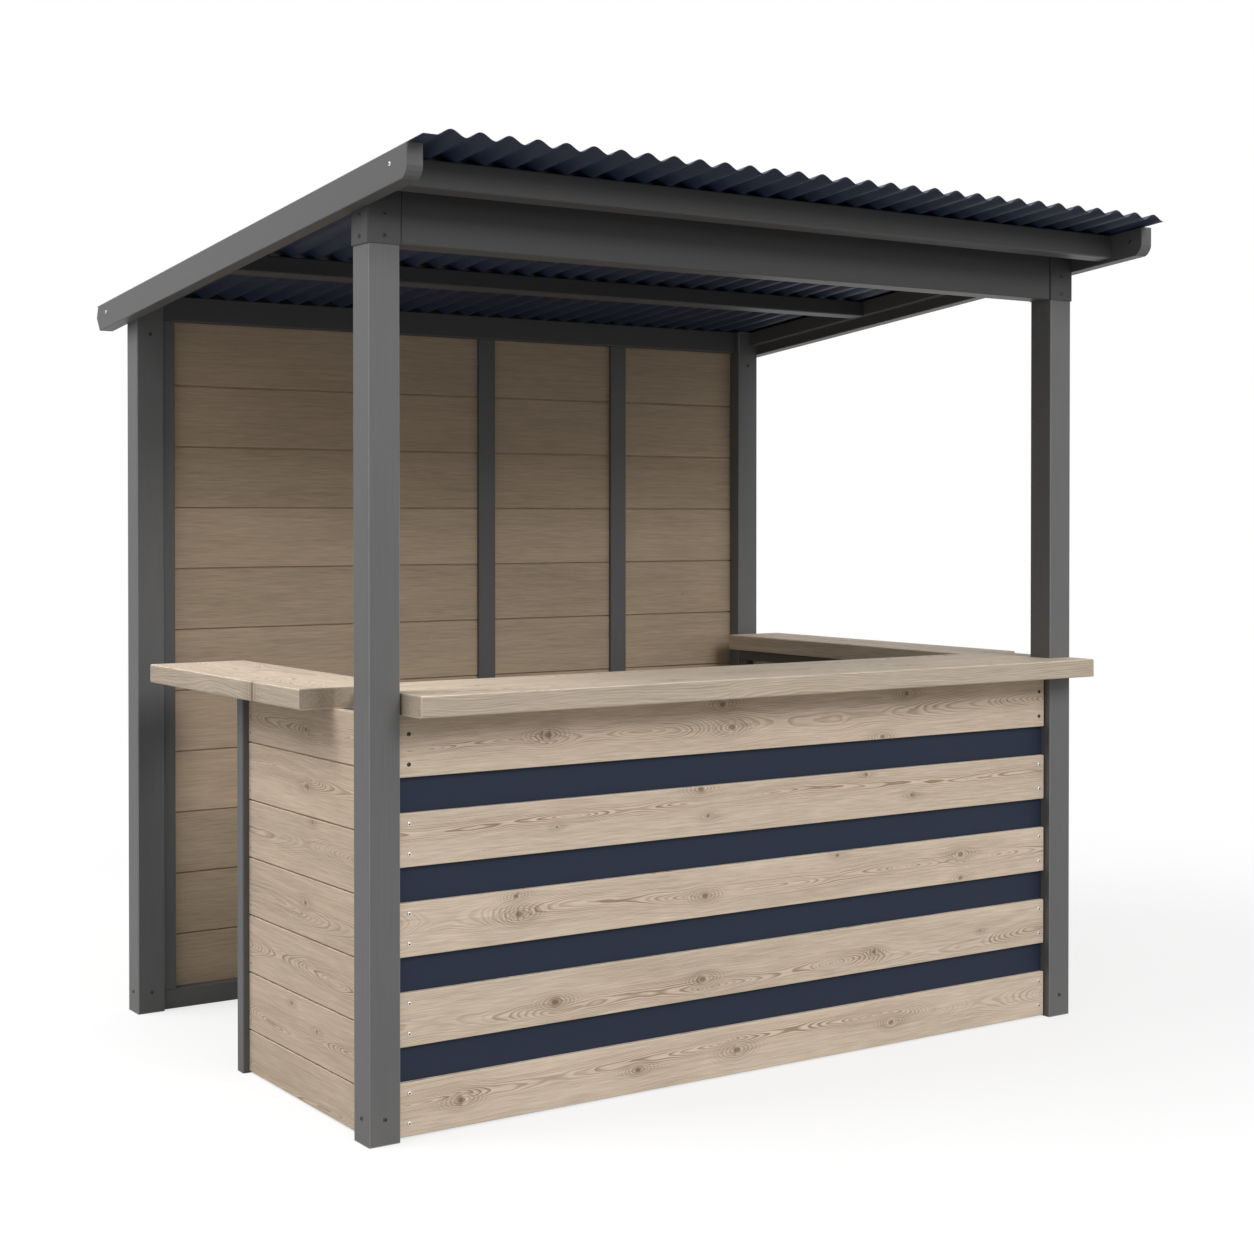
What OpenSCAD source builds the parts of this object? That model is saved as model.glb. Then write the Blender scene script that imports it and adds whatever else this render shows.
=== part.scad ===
// Garden bar: an open frame of square posts under a single-pitch corrugated roof,
// with a boarded back, a slatted front and timber counters on three sides.
// Sizes are in millimetres. Inside the modules, x runs from the outer face of the
// left posts, y from the front face of the front posts and z from the ground.

/* [Frame] */
// Width over the outer faces of the posts
frame_w = 2240; // [1800:10:3000]
// Depth over the outer faces of the posts
frame_d = 1560; // [1300:10:2200]
// Side of the square posts
post = 80; // [60:1:110]
// Wall of the sleeves round the front post heads
sleeve_t = 3; // [2:0.5:6]
// Corner radius of the box sections
tube_r = 4; // [1:0.5:8]
// Side of the light box sections behind the boards
rail = 40; // [30:1:50]

/* [Roof] */
// Fall of the roof towards the back, in degrees
roof_fall = 5.3; // [3:0.1:9]
// Height of the roof plane above the front face of the front posts
roof_z = 2213; // [2000:1:2600]
// Depth of the front header under the roof plane, at its face
header_h = 158; // [100:1:300]
// Depth of the front header from front to back
header_d = 76; // [50:1:80]
// Thickness of the side rafters
rafter_t = 40; // [30:1:60]
// Depth of the side rafters
rafter_h = 75; // [55:1:110]
// Corner radius of the rafters
rafter_r = 2.5; // [1:0.5:8]
// Height of the upright face of the rafter nose, above its rounded cut
nose_h = 37; // [20:1:50]
// Run of the rounded cut under the rafter nose
nose_cut = 26; // [10:1:60]
// Depth of the furthest point of the rafter tail, under its top
tail_h = 34; // [20:1:50]
// Run of the slanted cut above that point
tail_top = 16; // [4:1:30]
// Run of the slanted cut under that point
tail_cut = 22; // [10:1:60]
// Reach of the rafters in front of the posts, along the slope
front_reach = 266; // [200:1:400]
// Reach of the rafters behind the posts, along the slope
rear_reach = 147; // [80:1:300]
// Distance from the rafter nose to the front purlin
purlin_set = 114; // [60:1:140]
// Width of the purlins along the slope
purlin_w = 54; // [40:1:90]
// Depth of the front purlin
front_purlin_h = 65; // [40:1:75]
// Depth of the mid purlin
mid_purlin_h = 48; // [30:1:70]
// Distance from the front of the posts to the mid purlin, along the slope
mid_purlin_at = 884; // [500:1:1100]
// Thickness of the ledgers along the inner side of the rafters
ledger_t = 30; // [20:1:50]
// Depth of the ledgers
ledger_h = 44; // [30:1:60]

/* [Roof sheet] */
// Nominal distance between the crests of the corrugated sheet
wave_pitch = 73; // [50:1:150]
// Height of the waves
wave_h = 16; // [8:1:30]
// Thickness of the sheet
sheet_t = 1.2; // [0.6:0.1:3]
// Lap of the sheet over the left rafter
sheet_lap_left = 36; // [5:1:40]
// Lap of the sheet over the right rafter
sheet_lap_right = 12; // [5:1:40]
// Width of the flat lip along the left edge of the sheet
sheet_lip = 32; // [10:1:60]
// Overhang of the sheet past the front of the rafters
sheet_front = 66; // [20:1:120]
// Overhang of the sheet past the back of the rafters
sheet_rear = 6; // [0:1:120]

/* [Counters] */
// Height of the counter tops
counter_z = 1030; // [900:1:1150]
// Thickness of the counters
counter_t = 50; // [30:1:70]
// Radius of the eased counter edges
counter_ease = 4; // [1:0.5:8]
// Reach of the front counter in front of the posts
counter_out = 92; // [40:1:250]
// Reach of the front counter behind the front face of the posts
counter_in = 285; // [150:1:450]
// Reach of the side counters past the outer face of the posts
side_out = 63; // [10:1:80]
// Width of the left counter
left_counter_w = 277; // [210:1:450]
// Distance from the front of the posts to the front end of the left counter
left_counter_at = 240; // [130:1:285]
// Distance from the back end of the left counter to the back post
left_counter_gap = 272; // [50:1:400]
// Width of the right counter
right_counter_w = 213; // [150:1:400]
// Distance from the back end of the right counter to the back post
right_counter_gap = 40; // [1:1:200]

/* [Front] */
// Distance from the front of the posts to the face of the slats
slat_in = 20; // [5:1:30]
// Thickness of the slats
slat_t = 15; // [10:1:25]
// Height of the lower slats
slat_h = 125; // [80:1:150]
// Height of the top slat, under the counter
top_slat_h = 146; // [100:1:180]
// Radius of the eased slat edges
slat_r = 2; // [0.5:0.5:4]
// Gap between the posts and the ends of the slats and of the front counter
end_gap = 5; // [0.5:0.5:8]
// Thickness of the panel behind the slats
panel_t = 12; // [6:1:18]
// Gap between the ground and the boards
ground_gap = 4; // [2:1:30]

/* [Boards] */
// Thickness of the wall boards
board_t = 20; // [16:1:28]
// Cover height of the side boards
side_pitch = 148.4; // [90:0.1:220]
// Height of the lowest side board
side_first = 107; // [60:1:200]
// Cover height of the back boards
rear_pitch = 179; // [100:0.5:250]
// Height of the lowest back board
rear_first = 203; // [80:1:260]
// Width of the bevel along each board edge
bevel = 1.5; // [0.5:0.1:3]
// Height of the open slot that shows at each board joint
reveal = 3; // [1:0.5:4]
// Length of the tongue
tongue = 8; // [5:0.5:12]
// Clearance round the tongue and between the boards
joint_gap = 0.4; // [0.2:0.1:0.8]

/* [Side walls] */
// Distance from the outer face of the posts to the side boards
side_in = 25; // [10:1:30]
// Distance from the front of the posts to the end post of the left wall
end_post_at = 738; // [500:1:900]
// Distance that the end post stands out from the boards
end_post_proud = 17; // [5:1:20]

/* [Back wall] */
// Distance from the front of the back posts to the rails
rear_rail_in = 14; // [5:1:25]
// Depth of the back rails, from their front to the boards
rear_rail_d = 36; // [25:1:40]
// Height of the bottom back rail
rear_rail_h = 58; // [40:1:90]
// Depth of the back header under the roof plane, at its face
rear_header_h = 71; // [45:1:150]
// Lap of the boards behind the back header
rear_lap = 20; // [5:1:40]
// Width of the two upright battens
batten_w = 60; // [40:1:80]
// Thickness of the upright battens
batten_t = 13; // [8:1:25]
// Corner radius of the upright battens
batten_r = 2; // [0.5:0.5:3.5]
// Width of the two right-hand bays
bay_w = 446; // [300:1:600]

/* [Hidden] */

metal = "#5d5e5e";
navy = "#2c3447";
roof_navy = "#232b3c";
pine = "#bba88f";
taupe = "#a08c74";

slat_count = 5;
corner_steps = 3;
wave_steps = 12;
nose_steps = 4;
// How far the rounded cut of the rafter nose turns, in degrees
nose_turn = 67;
// How far a cutting tool starts outside the piece that it cuts
cut_out = 1;
// The sheet lies this far above the members that carry it
sheet_gap = 0.3;
// Clearance of the front counter round the right post and beside the left counter
counter_gap = 0.5;
// Clearance between a sleeve and the rafter that it meets
sleeve_gap = 0.3;
// Shortest board that is left at the top of a wall
least_board = 40;

// Longer than any member, for cutting tools
span = frame_w + frame_d + roof_z;

inner_w = frame_w - 2 * post;
rear_y = frame_d - post;
counter_u = counter_z - counter_t;
wall_back = slat_in + slat_t + panel_t;
rail_d = post - wall_back;
side_rail_t = rail - side_in + end_post_proud;
rear_rail_y = rear_y + rear_rail_in;
rear_board_y = rear_rail_y + rear_rail_d;
header_z = roof_z - header_h;
rear_header_z = roof_z - rear_rail_y * tan(roof_fall) - rear_header_h;
rear_wall_z = rear_header_z + rear_lap;
slat_room = counter_u - ground_gap - top_slat_h;
slat_pitch = slat_room / (slat_count - 1);

rafter_end = frame_d / cos(roof_fall) + rear_reach;
purlin_at = purlin_set - front_reach;
sheet_from = -front_reach - sheet_front;
sheet_to = rafter_end + sheet_rear;
waves_w = frame_w + sheet_lap_left + sheet_lap_right - sheet_lip;
crests = round(waves_w / wave_pitch);
true_pitch = waves_w / crests;

// The middle of the whole object from front to back: from the lower front edge of the
// sheet to the crests of its back edge
front_y = sheet_from * cos(roof_fall) + sheet_gap * sin(roof_fall);
back_y = sheet_to * cos(roof_fall) + (sheet_gap + wave_h + sheet_t) * sin(roof_fall);
mid_y = (front_y + back_y) / 2;

// Outline of a w by h rectangle with round corners
function round_box(w, h, r) = [
    for (k = [0 : 3])
        for (s = [0 : corner_steps])
            let (a = 90 * (k + s / corner_steps))
            let (cx = (k == 0 || k == 3) ? w - r : r)
            let (cy = (k < 2) ? h - r : r)
            [cx + r * cos(a), cy + r * sin(a)]
];

// Height of the waves of the sheet at x, and their slope there
function wave_z(x) = wave_h * (1 - cos(360 * x / true_pitch)) / 2;
function wave_slope(x) = wave_h * PI / true_pitch * sin(360 * x / true_pitch);

// A point of the sheet at x past its flat lip, moved by t square to its surface
function wave_point(x, t) =
    let (s = wave_slope(x))
    let (n = sqrt(1 + s * s))
    [sheet_lip + x - t * s / n, wave_z(x) + t / n];

// Moves the model so that its origin is the middle of its footprint
module placed() {
    translate([-frame_w / 2, -mid_y, 0])
        children();
}

// Frame of the roof: y down the slope, z square to it
module on_roof() {
    translate([0, 0, roof_z])
        rotate([-roof_fall, 0, 0])
            children();
}

// Keeps what lies under the roof plane
module under_roof() {
    intersection() {
        children();
        on_roof()
            translate([-span, -span, -2 * span])
                cube([3 * span, 3 * span, 2 * span]);
    }
}

// Box sections with round corners, along each axis, from the corner at the origin
module tube_x(size, r = tube_r) {
    rotate([90, 0, 90])
        linear_extrude(size[0])
            polygon(round_box(size[1], size[2], r));
}

module tube_y(size, r = tube_r) {
    translate([0, size[1], 0])
        rotate([90, 0, 0])
            linear_extrude(size[1])
                polygon(round_box(size[0], size[2], r));
}

module tube_z(size, r = tube_r) {
    linear_extrude(size[2])
        polygon(round_box(size[0], size[1], r));
}

// Repeats a left-hand piece on the right
module mirrored() {
    translate([frame_w, 0, 0])
        mirror([1, 0, 0])
            children();
}

module corner_post(y) {
    under_roof()
        translate([0, y, 0])
            tube_z([post, post, roof_z]);
}

// A point of the rounded cut under the rafter nose, after a turn of a degrees from its upright face
function nose_point(a) = [
    nose_h * tan(roof_fall) - front_reach + nose_cut * (1 - cos(a)) / (1 - cos(nose_turn)),
    -nose_h - (rafter_h - nose_h) * sin(a) / sin(nose_turn)
];

// Side outline of a rafter: a plumb nose that is rounded underneath, and a tail with two slanted cuts
function rafter_outline() = concat(
    [[-front_reach, 0]],
    [for (s = [0 : nose_steps]) nose_point(nose_turn * s / nose_steps)],
    [[rafter_end - tail_cut, -rafter_h], [rafter_end, -tail_h], [rafter_end - tail_top, 0]]
);

// The long edges are rounded, and so are the upright edges of the nose
module rafter() {
    intersection() {
        on_roof()
            translate([-rafter_t, 0, 0])
                rotate([90, 0, 90])
                    linear_extrude(rafter_t)
                        polygon(rafter_outline());
        on_roof()
            translate([-rafter_t, -front_reach, -rafter_h])
                tube_y([rafter_t, rafter_end + front_reach, rafter_h], rafter_r);
        translate([-rafter_t, -front_reach * cos(roof_fall), 0])
            tube_z([rafter_t, span, 2 * roof_z], rafter_r);
    }
}

module ledger() {
    from_y = post + sleeve_t;
    intersection() {
        on_roof()
            translate([0, -span / 2, -ledger_h])
                cube([ledger_t, span, ledger_h]);
        translate([0, from_y, 0])
            cube([ledger_t, rear_y - from_y, 2 * roof_z]);
    }
}

// Collar round a front post head, cut away where the rafter lies against the post
module sleeve() {
    under_roof()
        difference() {
            translate([-sleeve_t, -sleeve_t, header_z])
                tube_z([post + 2 * sleeve_t, post + 2 * sleeve_t, roof_z - header_z]);
            translate([0, 0, header_z - cut_out])
                tube_z([post, post, roof_z]);
            on_roof()
                translate([-rafter_t, -span / 2, -rafter_h - sleeve_gap])
                    cube([rafter_t, span, 2 * rafter_h]);
        }
}

// One board lying along x: its face is at y = 0, with a groove below and a tongue above. In front of
// the groove the board is cut short, which leaves a slot open above the next board.
module board(length, low, high, grooved, tongued) {
    third = board_t / 3;
    back = board_t - bevel;
    top = tongued ? high - joint_gap : high;
    foot = grooved ? low + reveal : low;
    groove = grooved ? [
        [third, foot], [third, low + tongue], [2 * third, low + tongue], [2 * third, low]
    ] : [];
    lip = tongued ? [
        [2 * third - joint_gap, top], [2 * third - joint_gap, top + tongue - joint_gap],
        [third + joint_gap, top + tongue - joint_gap], [third + joint_gap, top]
    ] : [];
    rotate([90, 0, 90])
        linear_extrude(length)
            polygon(concat(
                [[0, foot + bevel], [bevel, foot]], groove,
                [[back, low], [board_t, low + bevel], [board_t, top - bevel], [back, top]],
                lip, [[bevel, top], [0, top - bevel]]
            ));
}

// A wall of boards from the ground gap up to top, with its face at y = 0
module board_wall(length, top, first, pitch) {
    joints = [for (z = [ground_gap + first : pitch : top - least_board]) z];
    rows = len(joints);
    for (i = [0 : rows])
        board(
            length,
            i == 0 ? ground_gap : joints[i - 1],
            i == rows ? top : joints[i],
            i > 0,
            i < rows
        );
}

// A wall of side boards that runs back from the front post, with its face at x = 0
module side_boards(length) {
    translate([side_in, post + length, 0])
        rotate([0, 0, -90])
            board_wall(length, counter_u, side_first, side_pitch);
}

// Rails at the foot and the top of a side wall, against the inner side of its boards
module side_rail(length, low) {
    translate([side_in + board_t, post, low])
        tube_y([side_rail_t, length, rail]);
}

module post_front_left() {
    color(metal)
        placed()
            corner_post(0);
}

module post_front_right() {
    color(metal)
        placed()
            mirrored()
                corner_post(0);
}

module post_rear_left() {
    color(metal)
        placed()
            corner_post(rear_y);
}

module post_rear_right() {
    color(metal)
        placed()
            mirrored()
                corner_post(rear_y);
}

module sleeve_front_left() {
    color(metal)
        placed()
            sleeve();
}

module sleeve_front_right() {
    color(metal)
        placed()
            mirrored()
                sleeve();
}

// The header is rounded along its length and at its upright ends, where it meets the sleeves
module front_header() {
    size = [inner_w - 2 * sleeve_t, header_d, roof_z - header_z];
    color(metal)
        placed()
            under_roof()
                translate([post + sleeve_t, 0, header_z])
                    intersection() {
                        tube_x(size);
                        tube_z(size);
                    }
}

module rear_header() {
    color(metal)
        placed()
            under_roof()
                translate([post, rear_rail_y, rear_header_z])
                    tube_x([inner_w, rear_rail_d, roof_z - rear_header_z]);
}

module left_rafter() {
    color(metal)
        placed()
            rafter();
}

module right_rafter() {
    color(metal)
        placed()
            mirrored()
                rafter();
}

module left_ledger() {
    color(metal)
        placed()
            ledger();
}

module right_ledger() {
    color(metal)
        placed()
            mirrored()
                ledger();
}

module front_purlin() {
    color(metal)
        placed()
            on_roof()
                translate([0, purlin_at, -front_purlin_h])
                    tube_x([frame_w, purlin_w, front_purlin_h]);
}

module mid_purlin() {
    color(metal)
        placed()
            on_roof()
                translate([ledger_t, mid_purlin_at, -mid_purlin_h])
                    tube_x([frame_w - 2 * ledger_t, purlin_w, mid_purlin_h]);
}

module roof_sheet() {
    steps = crests * wave_steps;
    xs = [for (i = [0 : steps]) i * waves_w / steps];
    lower = [for (x = xs) wave_point(x, 0)];
    upper = [for (i = [steps : -1 : 0]) wave_point(xs[i], sheet_t)];
    color(roof_navy)
        placed()
            on_roof()
                translate([-sheet_lap_left, sheet_to, sheet_gap])
                    rotate([90, 0, 0])
                        linear_extrude(sheet_to - sheet_from)
                            polygon(concat([[0, 0]], lower, upper, [[0, sheet_t]]));
}

module rear_bottom_rail() {
    color(metal)
        placed()
            translate([post, rear_rail_y, 0])
                tube_x([inner_w, rear_rail_d, rear_rail_h]);
}

module rear_stud_left() {
    color(metal)
        placed()
            translate([post, rear_rail_y, rear_rail_h])
                tube_z([rail, rear_rail_d, rear_header_z - rear_rail_h]);
}

// Upright batten on the back boards; bays counts the bays between it and the right post
module rear_batten(bays) {
    color(metal)
        placed()
            translate([frame_w - post - bays * (bay_w + batten_w), rear_board_y - batten_t, rear_rail_h])
                tube_z([batten_w, batten_t, rear_header_z - rear_rail_h], batten_r);
}

module rear_batten_left() {
    rear_batten(2);
}

module rear_batten_right() {
    rear_batten(1);
}

module rear_boards() {
    color(taupe)
        placed()
            translate([post, rear_board_y, 0])
                board_wall(inner_w, rear_wall_z, rear_first, rear_pitch);
}

module front_panel() {
    color(navy)
        placed()
            translate([post, slat_in + slat_t, ground_gap])
                cube([inner_w, panel_t, counter_u - ground_gap]);
}

// Slats are counted from the ground; the top one is deeper and meets the counter
module front_slat(i) {
    h = i == slat_count ? top_slat_h : slat_h;
    color(pine)
        placed()
            translate([post + end_gap, slat_in, ground_gap + (i - 1) * slat_pitch])
                tube_x([inner_w - 2 * end_gap, slat_t, h], slat_r);
}

module front_top_rail() {
    color(metal)
        placed()
            translate([post, wall_back, counter_u - rail])
                tube_x([inner_w, rail_d, rail]);
}

module front_bottom_rail() {
    color(metal)
        placed()
            translate([post, wall_back, ground_gap])
                tube_x([inner_w, rail_d, rail]);
}

module front_stud() {
    low = ground_gap + rail;
    color(metal)
        placed()
            translate([(frame_w - rail) / 2, wall_back, low])
                tube_z([rail, rail_d, counter_u - rail - low]);
}

module left_boards() {
    color(pine)
        placed()
            side_boards(end_post_at - post);
}

module left_end_post() {
    color(metal)
        placed()
            translate([side_in - end_post_proud, end_post_at, 0])
                tube_z([end_post_proud + board_t + side_rail_t, rail, counter_u]);
}

module left_top_rail() {
    color(metal)
        placed()
            side_rail(end_post_at - post, counter_u - rail);
}

module left_bottom_rail() {
    color(metal)
        placed()
            side_rail(end_post_at - post, ground_gap);
}

module right_boards() {
    color(pine)
        placed()
            mirrored()
                side_boards(rear_y - post);
}

module right_stud() {
    low = ground_gap + rail;
    color(metal)
        placed()
            mirrored()
                translate([side_in + board_t, rear_y - rail, low])
                    tube_z([side_rail_t, rail, counter_u - rail - low]);
}

module right_top_rail() {
    color(metal)
        placed()
            mirrored()
                side_rail(rear_y - post, counter_u - rail);
}

module right_bottom_rail() {
    color(metal)
        placed()
            mirrored()
                side_rail(rear_y - post, ground_gap);
}

// The front counter runs from the left post to the outer face of the right one. It is cut out round the
// right post, and at its left end it makes room for the left counter.
module front_counter() {
    hole = post + 2 * counter_gap;
    from_x = post + end_gap;
    color(pine)
        placed()
            difference() {
                translate([from_x, -counter_out, counter_u])
                    tube_x([frame_w - from_x, counter_out + counter_in, counter_t], counter_ease);
                translate([frame_w - post - counter_gap, -counter_gap, 0])
                    cube([hole, hole, counter_z + counter_t]);
                translate([-side_out, left_counter_at - counter_gap, 0])
                    cube([left_counter_w + counter_gap, frame_d, counter_z + counter_t]);
            }
}

// The left counter ends behind the front post, in front of the inner edge of the front counter
module left_counter() {
    color(pine)
        placed()
            translate([-side_out, left_counter_at, counter_u])
                tube_y([left_counter_w, rear_y - left_counter_gap - left_counter_at, counter_t], counter_ease);
}

module right_counter() {
    color(pine)
        placed()
            mirrored()
                translate([-side_out, counter_in, counter_u])
                    tube_y([right_counter_w, rear_y - right_counter_gap - counter_in, counter_t], counter_ease);
}

post_front_left();
post_front_right();
post_rear_left();
post_rear_right();
sleeve_front_left();
sleeve_front_right();
front_header();
rear_header();
left_rafter();
right_rafter();
left_ledger();
right_ledger();
front_purlin();
mid_purlin();
roof_sheet();
rear_bottom_rail();
rear_stud_left();
rear_batten_left();
rear_batten_right();
rear_boards();
front_panel();
front_slat(1);  // front_slat_1
front_slat(2);  // front_slat_2
front_slat(3);  // front_slat_3
front_slat(4);  // front_slat_4
front_slat(5);  // front_slat_5
front_top_rail();
front_bottom_rail();
front_stud();
left_boards();
left_end_post();
left_top_rail();
left_bottom_rail();
right_boards();
right_stud();
right_top_rail();
right_bottom_rail();
front_counter();
left_counter();
right_counter();
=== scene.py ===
"""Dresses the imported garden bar: its finishes, its fasteners, its corrugated sheet and a plain studio.

Lengths are in metres in the frame of the model: x to the right, y to the back and z up, from the middle
of the footprint. Colours are written as they show on a screen, from 0 to 255.
"""

import logging
import math
from collections.abc import Mapping, Sequence
from dataclasses import dataclass, field
from enum import Enum
from typing import Any

import bmesh
import bpy
from mathutils import Matrix, Vector


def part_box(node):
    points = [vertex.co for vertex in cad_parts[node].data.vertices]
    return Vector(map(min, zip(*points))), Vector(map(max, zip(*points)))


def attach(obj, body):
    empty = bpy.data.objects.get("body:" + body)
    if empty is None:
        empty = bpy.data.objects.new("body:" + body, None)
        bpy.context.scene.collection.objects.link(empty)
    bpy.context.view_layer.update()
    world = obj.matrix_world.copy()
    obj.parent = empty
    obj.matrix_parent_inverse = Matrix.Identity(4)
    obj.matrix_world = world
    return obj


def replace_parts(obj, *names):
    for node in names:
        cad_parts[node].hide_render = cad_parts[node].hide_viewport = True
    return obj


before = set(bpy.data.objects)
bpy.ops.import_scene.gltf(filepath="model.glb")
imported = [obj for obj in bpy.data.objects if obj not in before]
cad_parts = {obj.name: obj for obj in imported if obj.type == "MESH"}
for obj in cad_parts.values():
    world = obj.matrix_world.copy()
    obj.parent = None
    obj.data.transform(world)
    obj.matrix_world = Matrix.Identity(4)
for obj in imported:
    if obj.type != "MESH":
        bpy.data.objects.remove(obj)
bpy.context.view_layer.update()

Box = tuple[Vector, Vector]
Colour = tuple[float, float, float, float]
Inputs = Mapping[str | int, Any]
Outline = tuple[tuple[float, float], ...]
Points = Sequence[bmesh.types.BMVert]

log = logging.getLogger("garden_bar")
BODY = "root"
ROOF_FALL = math.radians(5.3)
FORWARD, BACKWARD, UPWARD = (0, -1, 0), (0, 1, 0), (0, 0, 1)
WHITE = (1.0, 1.0, 1.0, 1.0)
# Attribute of a fastener's head that is 1 in its recess
HOLLOW = "hollow"
# Attribute of a fastener's place that says which way its head looks
FACING = "facing"


def tint(red: int, green: int, blue: int) -> Colour:
    """Turns a screen colour into the linear colour that shaders take.

    Args:
        red: Red, from 0 to 255.
        green: Green, from 0 to 255.
        blue: Blue, from 0 to 255.

    Returns:
        The linear colour, with full alpha.
    """
    shares = [channel / 255 for channel in (red, green, blue)]
    linear = [s / 12.92 if s <= 0.04045 else ((s + 0.055) / 1.055) ** 2.4 for s in shares]
    return (*linear, 1.0)


def middle_of(box: Box) -> Vector:
    """Gives the middle of a box."""
    return (box[0] + box[1]) / 2


class Value:
    """What comes out of a node. A sum written on it adds the node that works the sum out."""

    def __init__(self, tree: "Tree", socket: bpy.types.NodeSocket) -> None:
        """Keeps the tree and the output socket."""
        self.tree = tree
        self.socket = socket

    def __add__(self, other: "Value | float") -> "Value":
        """Adds a number to this one."""
        return self.tree.math("ADD", self, other)

    def __sub__(self, other: "Value | float") -> "Value":
        """Takes a number from this one."""
        return self.tree.math("SUBTRACT", self, other)

    def __mul__(self, other: "Value | float") -> "Value":
        """Multiplies this number by another."""
        return self.tree.math("MULTIPLY", self, other)

    def __truediv__(self, other: "Value | float") -> "Value":
        """Divides this number by another."""
        return self.tree.math("DIVIDE", self, other)


class Tree:
    """Adds set and linked nodes to one node tree."""

    def __init__(self, tree: bpy.types.NodeTree) -> None:
        """Keeps the tree that the nodes go into."""
        self.tree = tree

    @classmethod
    def cleared(cls, owner: bpy.types.Material | bpy.types.World) -> "Tree":
        """Gives the emptied tree of a material or a world.

        Args:
            owner: The material or world.

        Returns:
            Its tree.
        """
        owner.use_nodes = True
        owner.node_tree.nodes.clear()
        return cls(owner.node_tree)

    def add(self, kind: str, inputs: Inputs | None = None, **settings: Any) -> bpy.types.Node:
        """Adds a node, sets it and feeds its inputs.

        Args:
            kind: Blender's name of the node type.
            inputs: Plain values or other nodes' values, by the name or number of the input.
            **settings: Properties of the node itself.

        Returns:
            The new node.
        """
        node = self.tree.nodes.new(kind)
        for name, value in settings.items():
            setattr(node, name, value)
        for key, value in (inputs or {}).items():
            self.feed(node.inputs[key], value)
        return node

    def out(self, kind: str, inputs: Inputs | None = None, output: str | int = 0, **settings: Any) -> Value:
        """Adds a node as add does, and gives the output with that name or number."""
        return Value(self, self.add(kind, inputs, **settings).outputs[output])

    def feed(self, socket: bpy.types.NodeSocket, value: Any) -> None:
        """Links another node's value to an input, or sets the input to a plain value.

        Args:
            socket: The input.
            value: What it gets.
        """
        if isinstance(value, Value):
            self.tree.links.new(value.socket, socket)
        else:
            socket.default_value = value

    def math(self, operation: str, *values: Value | float) -> Value:
        """Gives the result of a sum on numbers."""
        return self.out("ShaderNodeMath", dict(enumerate(values)), operation=operation)

    def vector(self, operation: str, *values: Any) -> Value:
        """Gives the vector that a sum on vectors makes."""
        return self.out("ShaderNodeVectorMath", dict(enumerate(values)), operation=operation)

    def length(self, value: Value) -> Value:
        """Gives the length of a vector."""
        return self.out("ShaderNodeVectorMath", {0: value}, "Value", operation="LENGTH")

    def scaled(self, value: Value, factor: Value | float) -> Value:
        """Gives a vector or a colour times a number."""
        return self.out("ShaderNodeVectorMath", {0: value, "Scale": factor}, operation="SCALE")

    def joined(self, x: Value | float, y: Value | float, z: Value | float = 0.0) -> Value:
        """Gives the vector that three numbers make."""
        return self.out("ShaderNodeCombineXYZ", {0: x, 1: y, 2: z})

    def parts(self, value: Value) -> dict[str, Value]:
        """Gives the three numbers of a vector, by the letter of the axis."""
        node = self.add("ShaderNodeSeparateXYZ", {0: value})
        return {axis: Value(self, node.outputs[axis]) for axis in "XYZ"}

    def mix(self, factor: Value, first: Value | Colour, second: Value | Colour) -> Value:
        """Gives a colour between two others."""
        return self.out("ShaderNodeMix", {"Factor": factor, 6: first, 7: second}, 2, data_type="RGBA")

    def fade(self, value: Value, low: float, high: Value | float, start: float = 0, end: float = 1) -> Value:
        """Turns a number into a soft step between two limits.

        Args:
            value: The number that is judged.
            low: Where the step begins.
            high: Where the step ends.
            start: What comes out below the step.
            end: What comes out above it.

        Returns:
            The result of the step.
        """
        inputs = {"Value": value, "From Min": low, "From Max": high, "To Min": start, "To Max": end}
        return self.out("ShaderNodeMapRange", inputs, interpolation_type="SMOOTHSTEP")

    def noise(self, place: Value, scale: float = 1.0, detail: float = 2.0) -> Value:
        """Gives smooth noise about zero, from about -0.5 to 0.5."""
        return self.out("ShaderNodeTexNoise", {"Vector": place, "Scale": scale, "Detail": detail}) - 0.5


class Effect:
    """A shader node group with named sockets, built once and placed in each material that uses it."""

    name = ""
    inputs: dict[str, str] = {}
    outputs: dict[str, str] = {}

    def place(self, tree: Tree, inputs: Inputs) -> dict[str, Value]:
        """Puts the effect into a material.

        Args:
            tree: The tree of the material.
            inputs: Plain values or other nodes' values, by the name of the input.

        Returns:
            What comes out, by name.
        """
        group = bpy.data.node_groups.get(self.name) or self.build()
        node = tree.add("ShaderNodeGroup", inputs, node_tree=group)
        return {name: Value(tree, node.outputs[name]) for name in self.outputs}

    def build(self) -> bpy.types.ShaderNodeTree:
        """Makes the group with its sockets.

        Returns:
            The group.
        """
        group = bpy.data.node_groups.new(self.name, "ShaderNodeTree")
        for direction, sockets in (("INPUT", self.inputs), ("OUTPUT", self.outputs)):
            for name, kind in sockets.items():
                group.interface.new_socket(name, in_out=direction, socket_type=f"NodeSocket{kind}")
        tree = Tree(group)
        start = tree.add("NodeGroupInput")
        results = self.wire(tree, {name: Value(tree, start.outputs[name]) for name in self.inputs})
        tree.add("NodeGroupOutput", results)
        return group

    def wire(self, tree: Tree, given: dict[str, Value]) -> dict[str, Value]:
        """Links the effect's own nodes.

        Args:
            tree: The tree of the group.
            given: The group's inputs by name.

        Returns:
            What feeds the group's outputs, by name.
        """
        raise NotImplementedError


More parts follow.
